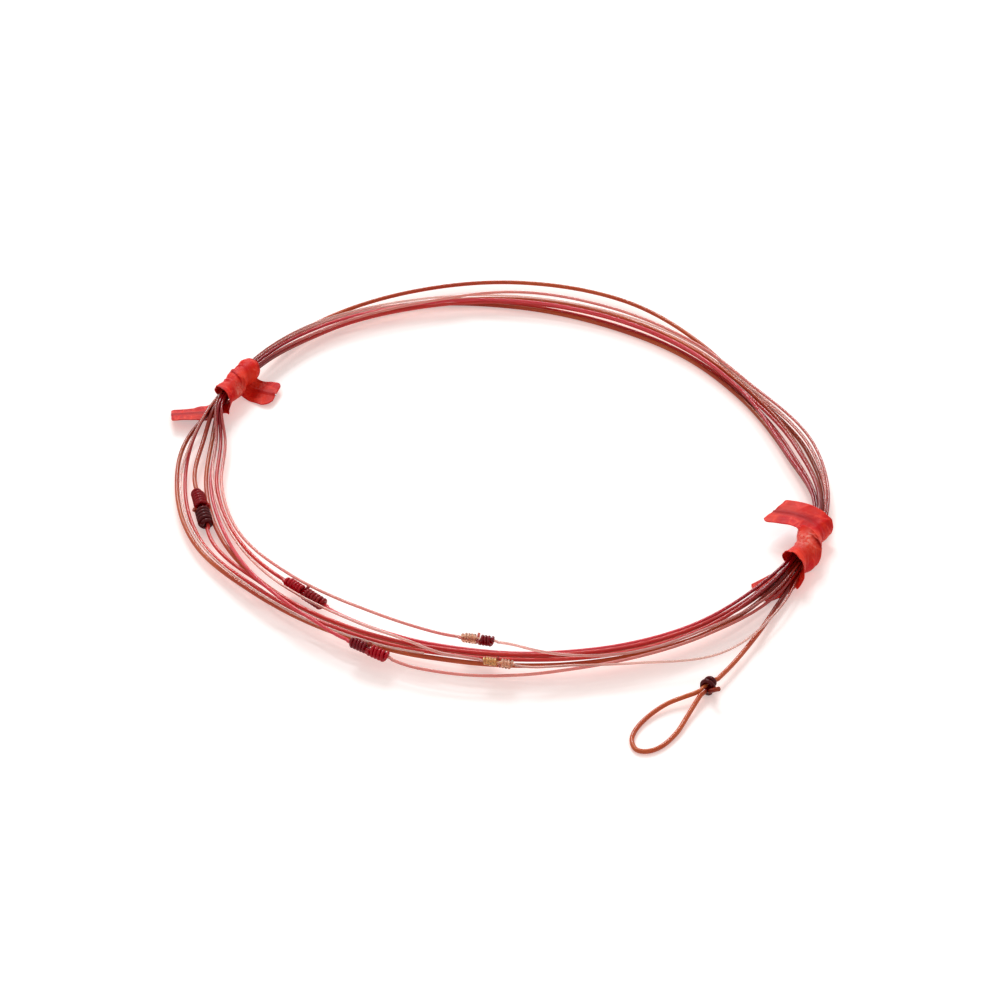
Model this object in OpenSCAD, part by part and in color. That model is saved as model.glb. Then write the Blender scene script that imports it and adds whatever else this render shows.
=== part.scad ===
// Tapered fishing leader: six lengths of line joined by blood knots, with a
// butt loop, coiled flat and held by two plastic twist ties.
// Millimetres. The coil lies flat, +Z is up, and the line is travelled
// anticlockwise from the thick butt end to the thin tippet end.

/* [Lines] */
// Diameter of the butt line
butt_d = 0.60; // [0.56:0.01:0.64]
// Diameter of the second line
second_d = 0.50; // [0.46:0.01:0.52]
// Diameter of the third line
third_d = 0.45; // [0.42:0.01:0.47]
// Diameter of the fourth line
fourth_d = 0.40; // [0.37:0.01:0.42]
// Diameter of the fifth line
fifth_d = 0.35; // [0.32:0.01:0.37]
// Diameter of the tippet, the last line
tippet_d = 0.30; // [0.27:0.01:0.32]

/* [Coil] */
// Radius of the ring that the lanes are counted from
ring_radius = 41; // [39:0.5:45]
// Room between two butt lines in neighbouring lanes
lane_gap = 0.10; // [0.10:0.01:0.14]

/* [Knots] */
// Room between two turns of a knot
turn_gap = 0.03; // [0.02:0.01:0.06]
// Room between the pieces of line inside a knot
core_gap = 0.02; // [0.01:0.01:0.03]
// Length of a trimmed tag end
tag_length = 0.7; // [0.4:0.1:0.9]
// Length of the trimmed tag at the butt loop
loop_tag_length = 1.6; // [1.0:0.1:2.0]

/* [Ties] */
// Width of a tie's flat strip
strip_width = 5.0; // [4.4:0.1:5.2]
// Thickness of the strip's flat wings
strip_wing = 0.22; // [0.18:0.01:0.24]
// Diameter of the wire inside the strip
wire_d = 0.32; // [0.26:0.01:0.34]
// Plastic over the wire
wire_cover = 0.12; // [0.10:0.01:0.13]

/* [Hidden] */

// Where the coil's centre lies, so that the whole part is centred on the origin
coil_centre = [0.95, 4.93, 0];
lane = butt_d + lane_gap;
line_d = [butt_d, second_d, third_d, fourth_d, fifth_d, tippet_d];
line_colour = ["#b9684a", "#a9503f", "#c2545c", "#dba6a0", "#e3c2bd", "#e6dcda"];
knot_colour = ["#7c1228", "#8f1830", "#9c2a3c", "#b5606a", "#c9a184"];
tie_colour = "#e23b36";
wire_colour = "#8f8f92";

// ---------- Small helpers ----------

function unit(v) = v / norm(v);
function mix(a, b, s) = a + (b - a) * s;
function flat_point(radius, angle, height) =
    [radius * cos(angle), radius * sin(angle), height];
function outline(a, b, sides = 6) =
    [for (i = [0:sides - 1]) [a * cos(i * 360 / sides), b * sin(i * 360 / sides)]];
function row_of(rows, name) = [for (r = rows) if (r[0] == name) r][0];

// A ring of corners round a centre. Its second direction lies towards out.
function corners(centre, along, out, shape) =
    let (w = unit(cross(out, along)), n = unit(cross(along, w)))
    [for (q = shape) centre + q.x * w + q.y * n];

// The direction of travel at point i of a path
function heading(path, i) =
    unit(path[min(i + 1, len(path) - 1)] - path[max(i - 1, 0)]);

// One closed solid through a list of rings that all have the same corners
module skin(rings) {
    sides = len(rings[0]);
    last = len(rings) - 1;
    walls = [for (i = [0:last - 1]) for (j = [0:sides - 1])
        let (k = (j + 1) % sides, a = i * sides, b = a + sides)
        each [[a + j, b + k, a + k], [a + j, b + j, b + k]]];
    first_end = [for (j = [1:sides - 2]) [0, j, j + 1]];
    last_end = [for (j = [1:sides - 2])
        [last * sides, last * sides + j + 1, last * sides + j]];
    polyhedron(points = [for (r = rings) each r],
               faces = concat(walls, first_end, last_end));
}

// ---------- Room that the ties need round the bundle ----------
// Winding rows of a tie: [angle round the bundle, place along, extra radius]

wire_half = wire_d / 2 + wire_cover;
tie_room = 0.04;
// Height of the middle of each bundle over its lowest lane, in lanes
pile_middle = [0.88, 1.06];
pile_half = [2.05 * lane, 1.68 * lane];
left_turns = [[-90, 3.9, 0], [-270, 1.7, 0.12], [-450, -0.5, 0.26],
              [-630, -2.7, 0.44], [-810, -2.6, 0.72]];
right_turns = [[90, 2.9, 0], [-90, 0.6, 0.12], [-270, -2.2, 0.26],
               [-450, -5.2, 0.34]];
left_radii = [pile_half.x + wire_half, pile_half.y + wire_half];
right_radii = left_radii + [0.06, 0.06];
left_middle = left_radii.y + left_turns[len(left_turns) - 1][2] + wire_half;
right_middle = right_radii.y + right_turns[len(right_turns) - 1][2] + wire_half;
left_base = left_middle - pile_middle.x * lane;
right_base = right_middle - pile_middle.y * lane;

// ---------- Route of the coil ----------
// A strand is one trip round the ring. Strand 0 starts at the right tie and
// the strand number goes up by one at the back of the coil. Each place is
// [strand, lanes outwards from the ring, lanes up from the row's height].

// Bundle inside the left tie, and inside the right tie, lowest strand first
left_pile = [[1, 0.95, 0], [2, -0.55, 0], [4, 1.4, 0.86], [5, -1.1, 0.85],
             [3, 0.2, 1.28], [7, -1.22, 1.55], [6, -0.55, 1.7], [8, 0.05, 2.05],
             [9, 0.85, 1.85]];
right_pile = [[8, 1.45, 0.15], [2, -0.75, 0], [0, 0.75, 0], [6, 1.5, 0.75],
              [3, -0.9, 0.9], [1, 0, 1.28], [7, 0.9, 1.35], [5, -1.5, 1.6],
              [4, -0.45, 2.2]];
left_shift = -0.4;
right_shift = 3.9;

// Each row: [angle, height, shift in lanes, places]
rows = [
    [107.5, 0.35, 0, [[7, -2.6, 3.05], [5, -2.0, 1.5], [6, -1.8, 2.3], [2, -1.0, 1.6],
        [8, 0.2, 1.35], [3, 0.9, 0.2], [9, 1.1, 1.5], [4, 1.9, 0.05],
        [1, 4.9, 0.95]]],
    [128.5, 0.9, 0.8, [[7, -2.0, 1.6], [5, -1.8, 0.7], [2, -0.9, 0], [6, -0.9, 1.7],
        [8, -0.1, 1.8], [3, 0.4, 0.9], [9, 1.0, 1.6], [4, 1.8, 0.8], [1, 2.6, 0]]],
    [148, left_base, left_shift, left_pile],
    [162, left_base, left_shift, left_pile],
    [172, 1.3, 0, [[7, -4.9, 0.5], [5, -4.0, 0.1], [8, -3.1, 1.3], [6, -3.1, 0.4],
        [2, -2.2, 0], [3, -0.7, 0.6], [4, 1.2, 0.95], [9, 1.0, 1.9], [1, 2.7, 0]]],
    [186, 1.1, 0, [[7, -5.4, 0.1], [5, -4.5, 0], [8, -3.8, 1.0], [6, -3.35, 0],
        [2, -2.45, 0], [3, -0.4, 0.4], [4, 1.55, 0], [9, 2.4, 0.9], [1, 3.1, 0]]],
    [201, 1.1, 0, [[7, -6.0, 0], [5, -5.1, 0], [8, -4.3, 0.9], [6, -3.4, 0.5],
        [2, -2.5, 0], [3, -0.6, 0.4], [4, 1.3, 0], [9, 2.0, 0.9], [1, 2.7, 0]]],
    [220.5, 1.6, 0, [[7, -7.9, 0], [5, -6.1, 0], [8, -4.2, 1.0], [2, -2.7, 0],
        [3, -2.0, 0.75], [6, -1.4, 1.9], [4, -0.65, 0.65], [9, 0.3, 1.0],
        [1, 0.2, 0]]],
    [235, 1.8, 0, [[7, -8.8, 0], [5, -5.6, 0], [8, -4.0, 1.4], [2, -3.0, 0],
        [3, -2.4, 0.8], [4, -1.1, 0.8], [1, -0.6, 0], [9, -0.1, 0.95],
        [6, 0.1, 1.9]]],
    [241.5, 1.9, 0, [[7, -8.8, 0], [5, -5.1, 0], [8, -3.7, 1.4], [2, -3.05, 0],
        [3, -2.45, 0.8], [4, -1.15, 0.8], [1, -0.7, 0], [9, -0.25, 0.95],
        [6, 1.1, 1.4]]],
    [253.5, 1.9, 0, [[7, -7.9, 0], [5, -4.4, 0], [2, -3.0, 0], [3, -2.4, 0.8],
        [8, -2.0, 1.8], [4, -1.1, 0.8], [1, -0.65, 0], [9, -0.25, 1.0],
        [6, 2.4, 0.2]]],
    [260.5, 2.0, 0, [[7, -6.9, 0], [5, -3.9, 0], [2, -2.75, 0], [3, -2.2, 0.85],
        [4, -0.9, 0.85], [1, -0.4, 0], [9, -0.1, 1.0], [8, 0.1, 1.8], [6, 3.0, 0]]],
    [274, 2.0, 0, [[5, -2.6, 0.1], [2, -1.75, 0], [3, -1.3, 0.85], [4, 0, 0.85],
        [1, 0.6, 0], [7, -2.3, 1.9], [8, 2.0, 1.0], [6, 3.0, 0]]],
    [282, 2.0, 0, [[5, -1.8, 0.2], [2, -0.8, 0], [3, -0.4, 0.85], [4, 0.9, 0.85],
        [1, 1.4, 0], [7, 1.1, 1.9], [6, 2.7, 0], [8, 2.8, 0.95]]],
    [292, 1.9, 0, [[5, -0.8, 0.2], [2, 0.3, 0], [3, 0.7, 0.85], [4, 2.0, 0.9],
        [1, 2.3, 0], [7, 2.9, 1.4], [6, 3.2, 0.3], [8, 4.8, 0.5]]],
    [306, 1.7, 0, [[5, 0.6, 0.4], [2, 1.5, 0], [3, 1.8, 0.85], [4, 3.1, 1.1],
        [1, 3.4, 0], [7, 3.9, 1.6], [6, 4.3, 0.6], [8, 9.1, -0.1]]],
    [320, 1.4, 0, [[0, 6.5, -0.5], [5, 1.5, 1.05], [2, 2.4, 0], [3, 2.4, 0.9],
        [1, 4.0, 0.7], [4, 3.4, 1.95], [7, 4.9, 1.5], [6, 5.3, 0.7],
        [8, 7.6, 0.35]]],
    [332, right_base, right_shift, right_pile],
    [344, right_base, right_shift, right_pile],
    [364.5, 0.35, 0, [[5, -3.4, 2.35], [2, -2.5, 0.5], [3, -1.9, 1.35],
        [4, -1.0, 2.5], [1, -0.2, 1.6], [0, 1.6, 0.7], [7, 1.8, 2.15],
        [8, 2.4, 1.45], [6, 2.7, 2.5]]],
    [388, 0.35, 0, [[5, -4.9, 2.2], [2, -4.9, 0.15], [4, -4.3, 1.5], [3, -3.9, 0.05],
        [1, -3.3, 1.6], [7, -2.5, 1.15], [6, -2.2, 2.15], [0, -2.0, 0.2],
        [8, -1.9, 1.2]]],
    [405.5, 0.35, 0, [[2, -4.8, 0.05], [5, -4.7, 2.3], [4, -4.2, 1.5],
        [3, -3.9, 0.05], [1, -3.2, 1.6], [7, -2.2, 1.15], [6, -1.9, 2.15],
        [8, -1.3, 1.2], [0, 0.2, 0.8]]],
    [426, 0.35, 0, [[2, -4.2, 0], [5, -4.1, 2.3], [4, -3.4, 1.5], [3, -3.2, 0],
        [1, -2.4, 1.65], [7, -1.5, 1.15], [6, -1.4, 2.65], [8, -0.9, 1.3],
        [0, 4.5, 0.95]]],
    [446.5, 0.35, 0, [[5, -3.0, 2.3], [4, -2.5, 1.5], [2, -2.0, 0], [1, -1.5, 1.65],
        [3, -1.1, 0], [6, -0.9, 3.05], [7, -0.6, 1.15], [8, 0.1, 1.35],
        [0, 5.8, 0.95]]]];
per_loop = len(rows);
row_260 = 11;

// The fourth line leaves the others early to reach knot 4
early_ring = [7, 271.4, -4.0, 2.9];

function ring_angle(g) = rows[g % per_loop][0];
function ring_point(g) =
    let (row = rows[g % per_loop], spot = row_of(row[3], floor(g / per_loop)))
    flat_point(ring_radius + (spot[1] + row[2]) * lane, row[0],
               row[1] + spot[2] * lane);
function ring_number(strand, row) = strand * per_loop + row;
early_point = flat_point(ring_radius + early_ring[2] * lane, early_ring[1],
                         early_ring[3]);
early_number = ring_number(early_ring[0], row_260) + 0.5;

// ---------- Knots in the coil ----------
// [strand, row before the knot, share of the way to the next ring,
//  line that comes in, turns that it winds, turns of the line that goes out]
knots = [[3, 5, 0.50, 0, 5, 6], [5, 7, 0.49, 1, 6, 6], [6, 9, 0.49, 2, 5, 5],
         [7, row_260, 0.50, 3, 4, 5], [8, row_260, 0.69, 4, 4, 5]];

// Lines pulled tight in a knot flatten: side by side inside, and under the
// turns. Sizes are shares of the line's diameter.
core_half = 0.35;
core_high = 0.62;
core_reach = 0.72;
turn_half = 0.46;
turn_sides = 8;
flat_share = cos(180 / turn_sides);
hex_share = cos(30);

function knot_end(k) =
    knots[k][0] == early_ring[0] ? early_point
    : ring_point(ring_number(knots[k][0], knots[k][1]) + 1);
function knot_start(k) = ring_point(ring_number(knots[k][0], knots[k][1]));
function knot_centre(k) = mix(knot_start(k), knot_end(k), knots[k][2]);
function knot_axis(k) = unit(knot_end(k) - knot_start(k));
function line_in(k) = line_d[knots[k][3]];
function line_out(k) = line_d[knots[k][3] + 1];
// Length of the half that a line winds
function wound(d, turns) =
    (turns - 5 / turn_sides) * (d + turn_gap) + d / 2 + core_gap * 2;
function half_in(k) = wound(line_out(k), knots[k][5]);
function half_out(k) = wound(line_in(k), knots[k][4]);
function reach_in(k) = half_in(k) + 2.2 * line_out(k) + line_in(k);
function reach_out(k) = half_out(k) + 2.2 * line_in(k) + line_out(k);
function entry_point(k) = knot_centre(k) - knot_axis(k) * reach_in(k);
function exit_point(k) = knot_centre(k) + knot_axis(k) * reach_out(k);

// Radius that the middle of a wound line keeps from the knot's axis
function winding_radius(own, other) =
    (core_reach * (own + other) / 2 + core_gap + turn_half * own) / flat_share;

// One line's half of a knot, in its own frame: x along its travel, y to the
// side, z up. It passes through at the side, turns round at its far end and
// winds back to the middle. Each item: [point, out, shape].
function winding(own, other, turns, entry, half, tag) =
    let (side = core_half * other + core_gap / 2,
         r = winding_radius(own, other),
         pitch = own + turn_gap,
         core = outline(core_high * own, core_half * own / hex_share),
         round_line = outline(own / 2, own / 2),
         wrap = outline(own / 2, turn_half * own / hex_share),
         steps = [for (k = [1:turns * turn_sides])
             let (a = 202.5 - 45 * k,
                  rad = k == 1 ? 0.75 * own : k == 2 ? 1.02 * own : r,
                  x = half + (k == 1 ? 0.5 * own : k == 2 ? 0.65 * own
                      : k == 3 ? 0.6 * own : k == 4 ? 0.3 * own
                      : 0.05 * own - (k - 5) * pitch / turn_sides))
             [[x, rad * cos(a), rad * sin(a)], [0, cos(a), sin(a)], wrap]],
         x_end = half + 0.05 * own - (turns * turn_sides - 4.5) * pitch / turn_sides,
         leave = [x_end, -r - 0.04, 0.1 * own])
    concat(
        [for (e = entry) [[e[0], e[1], 0], [0, -1, 0], e[2] == 0 ? round_line : core]],
        [[[half, -side, 0], [0, -1, 0], core]],
        steps,
        [[leave, [0, -1, 0.3], wrap],
         [leave + [0, -0.75, 0.66] * tag, [0, -1, 0.3], round_line]]);

// Places a winding at a centre, along an axis, and closes it
module wind(centre, along, path, first_along) {
    flat_side = unit(cross([0, 0, 1], along));
    up = cross(along, flat_side);
    points = [for (p = path)
        centre + p[0].x * along + p[0].y * flat_side + p[0].z * up];
    outs = [for (p = path) p[1].x * along + p[1].y * flat_side + p[1].z * up];
    skin([for (i = [0:len(path) - 1])
        corners(points[i], i == 0 ? first_along : heading(points, i),
                outs[i], path[i][2])]);
}

module knot_half(k, going_out) {
    own = going_out ? line_out(k) : line_in(k);
    other = going_out ? line_in(k) : line_out(k);
    along = going_out ? -knot_axis(k) : knot_axis(k);
    near = going_out ? half_out(k) : half_in(k);
    far = going_out ? half_in(k) : half_out(k);
    turns = going_out ? knots[k][5] : knots[k][4];
    side = core_half * other + core_gap / 2;
    entry = [[-near - 2.2 * other - own, 0, 0], [-near - 2.2 * other, 0, 0],
             [-near - 1.2 * other, -side, 1]];
    translate(coil_centre)
        wind(knot_centre(k), along,
             winding(own, other, turns, entry, far, tag_length), along);
}

// ---------- Coils of the six lines ----------

// Rings from one ring number to another, with the early ring where it belongs
function ring_run(a, b) =
    concat([for (g = [ceil(a):floor(b)]) if (g < early_number) ring_point(g)],
           a < early_number && early_number < b ? [early_point] : [],
           [for (g = [ceil(a):floor(b)]) if (g > early_number) ring_point(g)]);
// A ring next to a knot's end is left out
function clear_of(points, ends, room) =
    [for (p = points) if (norm(p - ends[0]) > room && norm(p - ends[1]) > room) p];

start_row = 16;
end_row = 10;
end_share = 0.5;
tippet_end = mix(ring_point(ring_number(9, end_row)),
                 ring_point(ring_number(9, end_row) + 1), end_share);
function coil_first(i) =
    i == 0 ? ring_point(ring_number(0, start_row)) : exit_point(i - 1);
function coil_last(i) = i == 5 ? tippet_end : entry_point(i);
function coil_from(i) =
    i == 0 ? ring_number(0, start_row) + 1
    : i == 4 ? early_number
    : ring_number(knots[i - 1][0], knots[i - 1][1]) + 1;
function coil_to(i) =
    i == 5 ? ring_number(9, end_row) : ring_number(knots[i][0], knots[i][1]);
function coil_path(i) =
    concat([coil_first(i)],
           clear_of(ring_run(coil_from(i), coil_to(i)), [coil_first(i), coil_last(i)], 1),
           [coil_last(i)]);

module coil(i) {
    path = coil_path(i);
    last = len(path) - 1;
    first_along = i == 0 ? heading([path[0], path[1]], 0) : knot_axis(i - 1);
    last_along = i == 5 ? heading([path[last - 1], path[last]], 0) : knot_axis(i);
    shape = outline(line_d[i] / 2, line_d[i] / 2);
    color(line_colour[i]) translate(coil_centre)
        skin([for (j = [0:last])
            let (along = j == 0 ? first_along : j == last ? last_along
                     : heading(path, j))
            corners(path[j], along, cross(along, [0, 0, 1]), shape)]);
}

// ---------- Butt loop, its knot and the lead ----------
// Points are measured from the coil's centre

loop_turns = 2;
loop_half = wound(butt_d, loop_turns) / 2;
loop_high = flat_share * winding_radius(butt_d, butt_d) + turn_half * butt_d;
loop_knot_at = [25.4, -44.2, loop_high];
// From the loop towards the lead
loop_along = unit([0.67, 0.74, 0]);
loop_aside = unit(cross([0, 0, 1], loop_along));
leg_side = butt_d / 2 + core_gap;
leg_start = -loop_half - 1.6 * butt_d;
lead_end = loop_half + 2.2 * butt_d;
function at_knot(x, y) = loop_knot_at + x * loop_along + y * loop_aside;

// A smooth curve through points, with the outer points as guides
function curve(p, steps) =
    [for (i = [1:len(p) - 3]) for (j = [0:steps - 1])
        let (t = j / steps, a = p[i - 1], b = p[i], c = p[i + 1], d = p[i + 2])
        b + (c - a) * t / 2 + (2 * a - 5 * b + 4 * c - d) * t * t / 2
        + (3 * b - a - 3 * c + d) * t * t * t / 2];

floor_line = butt_d / 2 + 0.01;
loop_points = [
    at_knot(leg_start + 1.5, leg_side), at_knot(leg_start, leg_side),
    [20.3, -46.9, 0.7], [17.4, -49.6, 0.4], [16.0, -52.3, floor_line],
    [16.3, -54.4, floor_line], [17.8, -54.8, floor_line],
    [19.6, -53.8, floor_line], [21.4, -51.6, 0.4], [22.8, -48.9, 0.6],
    at_knot(leg_start, -leg_side), at_knot(leg_start + 1.5, -leg_side)];
lead_top = ring_point(ring_number(0, start_row));
lead_along = unit(ring_point(ring_number(0, start_row) + 1) - lead_top);
lead_points = [
    at_knot(lead_end, 0), at_knot(lead_end + butt_d, 0),
    [28.9, -39.8, 1.0], [31.1, -36.3, 1.0], [33.1, -32.8, 1.0],
    lead_top - lead_along * butt_d, lead_top];

module butt_loop() {
    path = concat(curve(loop_points, 2), [at_knot(leg_start, -leg_side)]);
    last = len(path) - 1;
    color(line_colour[0]) translate(coil_centre)
        skin([for (j = [0:last])
            let (along = j == 0 ? -loop_along : j == last ? loop_along
                     : heading(path, j))
            corners(path[j], along, cross(along, [0, 0, 1]),
                    outline(butt_d / 2, butt_d / 2, 8))]);
}

module butt_loop_knot() {
    entry = [[leg_start, -leg_side, 0], [leg_start + butt_d, -leg_side, 0],
             [-loop_half, -core_half * butt_d - core_gap / 2, 1]];
    color(knot_colour[0]) translate(coil_centre)
        wind(loop_knot_at, loop_along,
             winding(butt_d, butt_d, loop_turns, entry, loop_half, loop_tag_length),
             loop_along);
}

module butt_lead() {
    side = core_half * butt_d + core_gap / 2;
    round_line = outline(butt_d / 2, butt_d / 2);
    core = outline(core_high * butt_d, core_half * butt_d / hex_share);
    inside = [[at_knot(leg_start, leg_side), round_line],
              [at_knot(leg_start + butt_d, leg_side), round_line],
              [at_knot(-loop_half, side), core],
              [at_knot(loop_half + 1.2 * butt_d, side), core],
              [at_knot(lead_end, 0), round_line]];
    outside = [for (p = concat(curve(concat([at_knot(lead_end - 2, 0)],
        [for (i = [1:len(lead_points) - 1]) lead_points[i]],
        [lead_top + lead_along * 2]), 2), [lead_top])) [p, round_line]];
    all_rings = concat(inside, outside);
    path = [for (r = all_rings) r[0]];
    last = len(path) - 1;
    color(line_colour[0]) translate(coil_centre)
        skin([for (j = [0:last])
            let (along = j == 0 ? loop_along : j == last ? lead_along
                     : heading(path, j))
            corners(path[j], along, cross(along, [0, 0, 1]), all_rings[j][1])]);
}

// ---------- Ties ----------
// A tie is a flat plastic strip with a wire along its middle, wound round the
// bundle. Its path runs in a frame at the tie: outwards, up, and along the
// ring.

// Tails: [outwards, height, along, turn of the strip's width]
left_tail_in = [[6.4, wire_half, 6.9, -20], [4.4, wire_half, 6.2, -20],
                [2.6, 0.5, 5.4, -15], [1.1, 0.85, 4.7, -6]];
left_tail_out = [[-1.2, wire_half + 0.06, -1.9, 3], [-2.5, 0.6, -1.4, 10],
                 [-3.9, 1.2, -0.8, 15], [-5.4, 1.75, -0.2, 15]];
right_tail_in = [[-6.3, 3.1, 0.9, 20], [-4.6, 3.7, 1.7, 20], [-2.9, 4.1, 2.3, 14],
                 [-1.3, 4.15, 2.7, 6]];
right_tail_out = [[-1.3, wire_half, -6.3, 24], [-2.7, wire_half, -7.8, 40],
                  [-4.6, wire_half, -10.0, 45]];
strip_step = 22.5;

function lookup_rows(rows, a, c) =
    lookup(a, [for (r = rows) [r[0], r[c]]]);
// Path of one tie: [point, strip's width direction]
function tie_path(tail_in, turns, tail_out, radii, middle) =
    let (first = turns[0][0], last = turns[len(turns) - 1][0],
         count = round((first - last) / strip_step))
    concat(
        [for (t = tail_in) [[t[0], t[2], t[1]], [sin(t[3]), cos(t[3]), 0]]],
        [for (i = [0:count])
            let (a = first - i * strip_step, extra = lookup_rows(turns, a, 2))
            [[(radii.x + extra) * cos(a), lookup_rows(turns, a, 1),
              middle + (radii.y + extra) * sin(a)], [0, 1, 0]]],
        [for (t = tail_out) [[t[0], t[2], t[1]], [sin(t[3]), cos(t[3]), 0]]]);

// Outline of the strip across its width: two thin wings and a ridge
strip_shape = let (w = strip_width / 2, t = strip_wing / 2, r = wire_half)
    [[-w, -t], [-r * 1.7, -t], [-r * 0.8, -r], [r * 0.8, -r], [r * 1.7, -t], [w, -t],
     [w, t], [r * 1.7, t], [r * 0.8, r], [-r * 0.8, r], [-r * 1.7, t], [-w, t]];
// The bore of the strip and the wire share their corners' directions
function bore_shape(r) =
    [[-r, -r * 0.4], [-r * 0.4, -r], [r * 0.4, -r], [r, -r * 0.4],
     [r, r * 0.4], [r * 0.4, r], [-r * 0.4, r], [-r, r * 0.4]];
bore_ring = [1, 2, 3, 4, 7, 8, 9, 10];

function tie_rings(path, shape) =
    let (points = [for (p = path) p[0]])
    [for (i = [0:len(path) - 1])
        let (along = heading(points, i), w = path[i][1],
             n = unit(cross(along, w)))
        [for (q = shape) points[i] + q.x * w + q.y * n]];

// A strip with a bore right through it: outer wall, bore wall and two ends
module bored_skin(rings, bore) {
    so = len(rings[0]);
    si = len(bore[0]);
    last = len(rings) - 1;
    base = so * (last + 1);
    outer = [for (i = [0:last - 1]) for (j = [0:so - 1])
        let (k = (j + 1) % so, a = i * so, b = a + so)
        each [[a + j, b + k, a + k], [a + j, b + j, b + k]]];
    inner = [for (i = [0:last - 1]) for (j = [0:si - 1])
        let (k = (j + 1) % si, a = base + i * si, b = a + si)
        each [[a + j, a + k, b + k], [a + j, b + k, b + j]]];
    ring_faces = [for (j = [0:si - 1])
        let (k = (j + 1) % si)
        each [[bore_ring[j], bore_ring[k], base + k], [bore_ring[j], base + k, base + j]]];
    wings = [[0, 1, 10], [0, 10, 11], [4, 5, 6], [4, 6, 7]];
    first_end = concat(ring_faces, wings);
    o = last * so;
    b = last * si;
    last_end = [for (f = first_end)
        [for (q = [f[2], f[1], f[0]]) q >= base ? q + b : q + o]];
    polyhedron(points = concat([for (r = rings) each r], [for (r = bore) each r]),
               faces = concat(outer, inner, first_end, last_end));
}

// Places a tie's frame on the ring: x outwards, y along the ring, z up
module at_tie(angle, shift) {
    translate(coil_centre) rotate([0, 0, angle])
        translate([ring_radius + shift * lane, 0, 0]) children();
}

left_angle = (rows[2][0] + rows[3][0]) / 2;
right_angle = (rows[17][0] + rows[18][0]) / 2;
left_path = tie_path(left_tail_in, left_turns, left_tail_out, left_radii, left_middle);
right_path = tie_path(right_tail_in, right_turns, right_tail_out, right_radii,
                      right_middle);

module tie_strip(path) {
    bored_skin(tie_rings(path, strip_shape),
               tie_rings(path, bore_shape(wire_d / 2 + tie_room / 2)));
}
module tie_wire(path) {
    skin(tie_rings(path, bore_shape(wire_d / 2)));
}

// ---------- Least gaps, printed ----------

function dense(path) =
    concat([for (i = [0:len(path) - 2]) for (s = [0:0.25:0.75])
        mix(path[i], path[i + 1], s)], [path[len(path) - 1]]);
function least_self(points, skip) =
    min([for (i = [0:len(points) - 1 - skip])
        min([for (j = [i + skip:len(points) - 1]) norm(points[i] - points[j])])]);
union() {
    for (i = [0:5]) {
        path = dense(coil_path(i));
        if (len(path) > 4 * per_loop)
            echo(str("Least gap of coil ", i + 1, " to itself: ",
                     least_self(path, 2 * per_loop) - line_d[i], " mm"));
    }
    echo(str("Gap between a knot's turns: ", turn_gap, " mm"));
}

// ---------- Nodes ----------

module butt_coil() { coil(0); }
module second_coil() { coil(1); }
module third_coil() { coil(2); }
module fourth_coil() { coil(3); }
module fifth_coil() { coil(4); }
module tippet_coil() { coil(5); }
module knot_1_butt_winding() { color(knot_colour[0]) knot_half(0, false); }
module knot_1_second_winding() { color(knot_colour[1]) knot_half(0, true); }
module knot_2_second_winding() { color(knot_colour[1]) knot_half(1, false); }
module knot_2_third_winding() { color(knot_colour[2]) knot_half(1, true); }
module knot_3_third_winding() { color(knot_colour[1]) knot_half(2, false); }
module knot_3_fourth_winding() { color(knot_colour[2]) knot_half(2, true); }
module knot_4_fourth_winding() { color(knot_colour[2]) knot_half(3, false); }
module knot_4_fifth_winding() { color(knot_colour[3]) knot_half(3, true); }
module knot_5_fifth_winding() { color(knot_colour[3]) knot_half(4, false); }
module knot_5_tippet_winding() { color(knot_colour[4]) knot_half(4, true); }
module left_tie_strip() {
    color(tie_colour) at_tie(left_angle, left_shift) tie_strip(left_path);
}
module left_tie_wire() {
    color(wire_colour) at_tie(left_angle, left_shift) tie_wire(left_path);
}
module right_tie_strip() {
    color(tie_colour) at_tie(right_angle, right_shift) tie_strip(right_path);
}
module right_tie_wire() {
    color(wire_colour) at_tie(right_angle, right_shift) tie_wire(right_path);
}

butt_loop();
butt_loop_knot();
butt_lead();
butt_coil();
knot_1_butt_winding();
knot_1_second_winding();
second_coil();
knot_2_second_winding();
knot_2_third_winding();
third_coil();
knot_3_third_winding();
knot_3_fourth_winding();
fourth_coil();
knot_4_fourth_winding();
knot_4_fifth_winding();
fifth_coil();
knot_5_fifth_winding();
knot_5_tippet_winding();
tippet_coil();
left_tie_strip();
left_tie_wire();
right_tie_strip();
right_tie_wire();
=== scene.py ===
"""Tapered fishing leader, coiled and tied: its looks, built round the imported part.

Lengths are millimetres measured from the coil's centre while a shape is worked
out, and metres in the row frame once it becomes a mesh.
"""

import logging
import math
from dataclasses import dataclass, field
from enum import Enum
from typing import Sequence

import bmesh
import bpy
import numpy as np
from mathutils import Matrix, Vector, noise


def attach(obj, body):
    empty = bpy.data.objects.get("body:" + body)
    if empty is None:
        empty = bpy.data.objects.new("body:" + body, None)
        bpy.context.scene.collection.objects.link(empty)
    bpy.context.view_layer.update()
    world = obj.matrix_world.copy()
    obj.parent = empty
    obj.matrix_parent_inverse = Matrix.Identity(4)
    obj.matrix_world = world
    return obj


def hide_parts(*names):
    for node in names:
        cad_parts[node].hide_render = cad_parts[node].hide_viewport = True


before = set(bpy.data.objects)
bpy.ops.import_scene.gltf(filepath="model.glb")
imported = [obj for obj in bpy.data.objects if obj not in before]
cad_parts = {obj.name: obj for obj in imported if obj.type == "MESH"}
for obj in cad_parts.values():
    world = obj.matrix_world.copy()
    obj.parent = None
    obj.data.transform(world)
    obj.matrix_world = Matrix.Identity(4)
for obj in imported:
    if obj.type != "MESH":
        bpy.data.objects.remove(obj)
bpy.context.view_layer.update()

log = logging.getLogger("leader")
Array = np.ndarray
Rgb = tuple[float, float, float]

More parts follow.
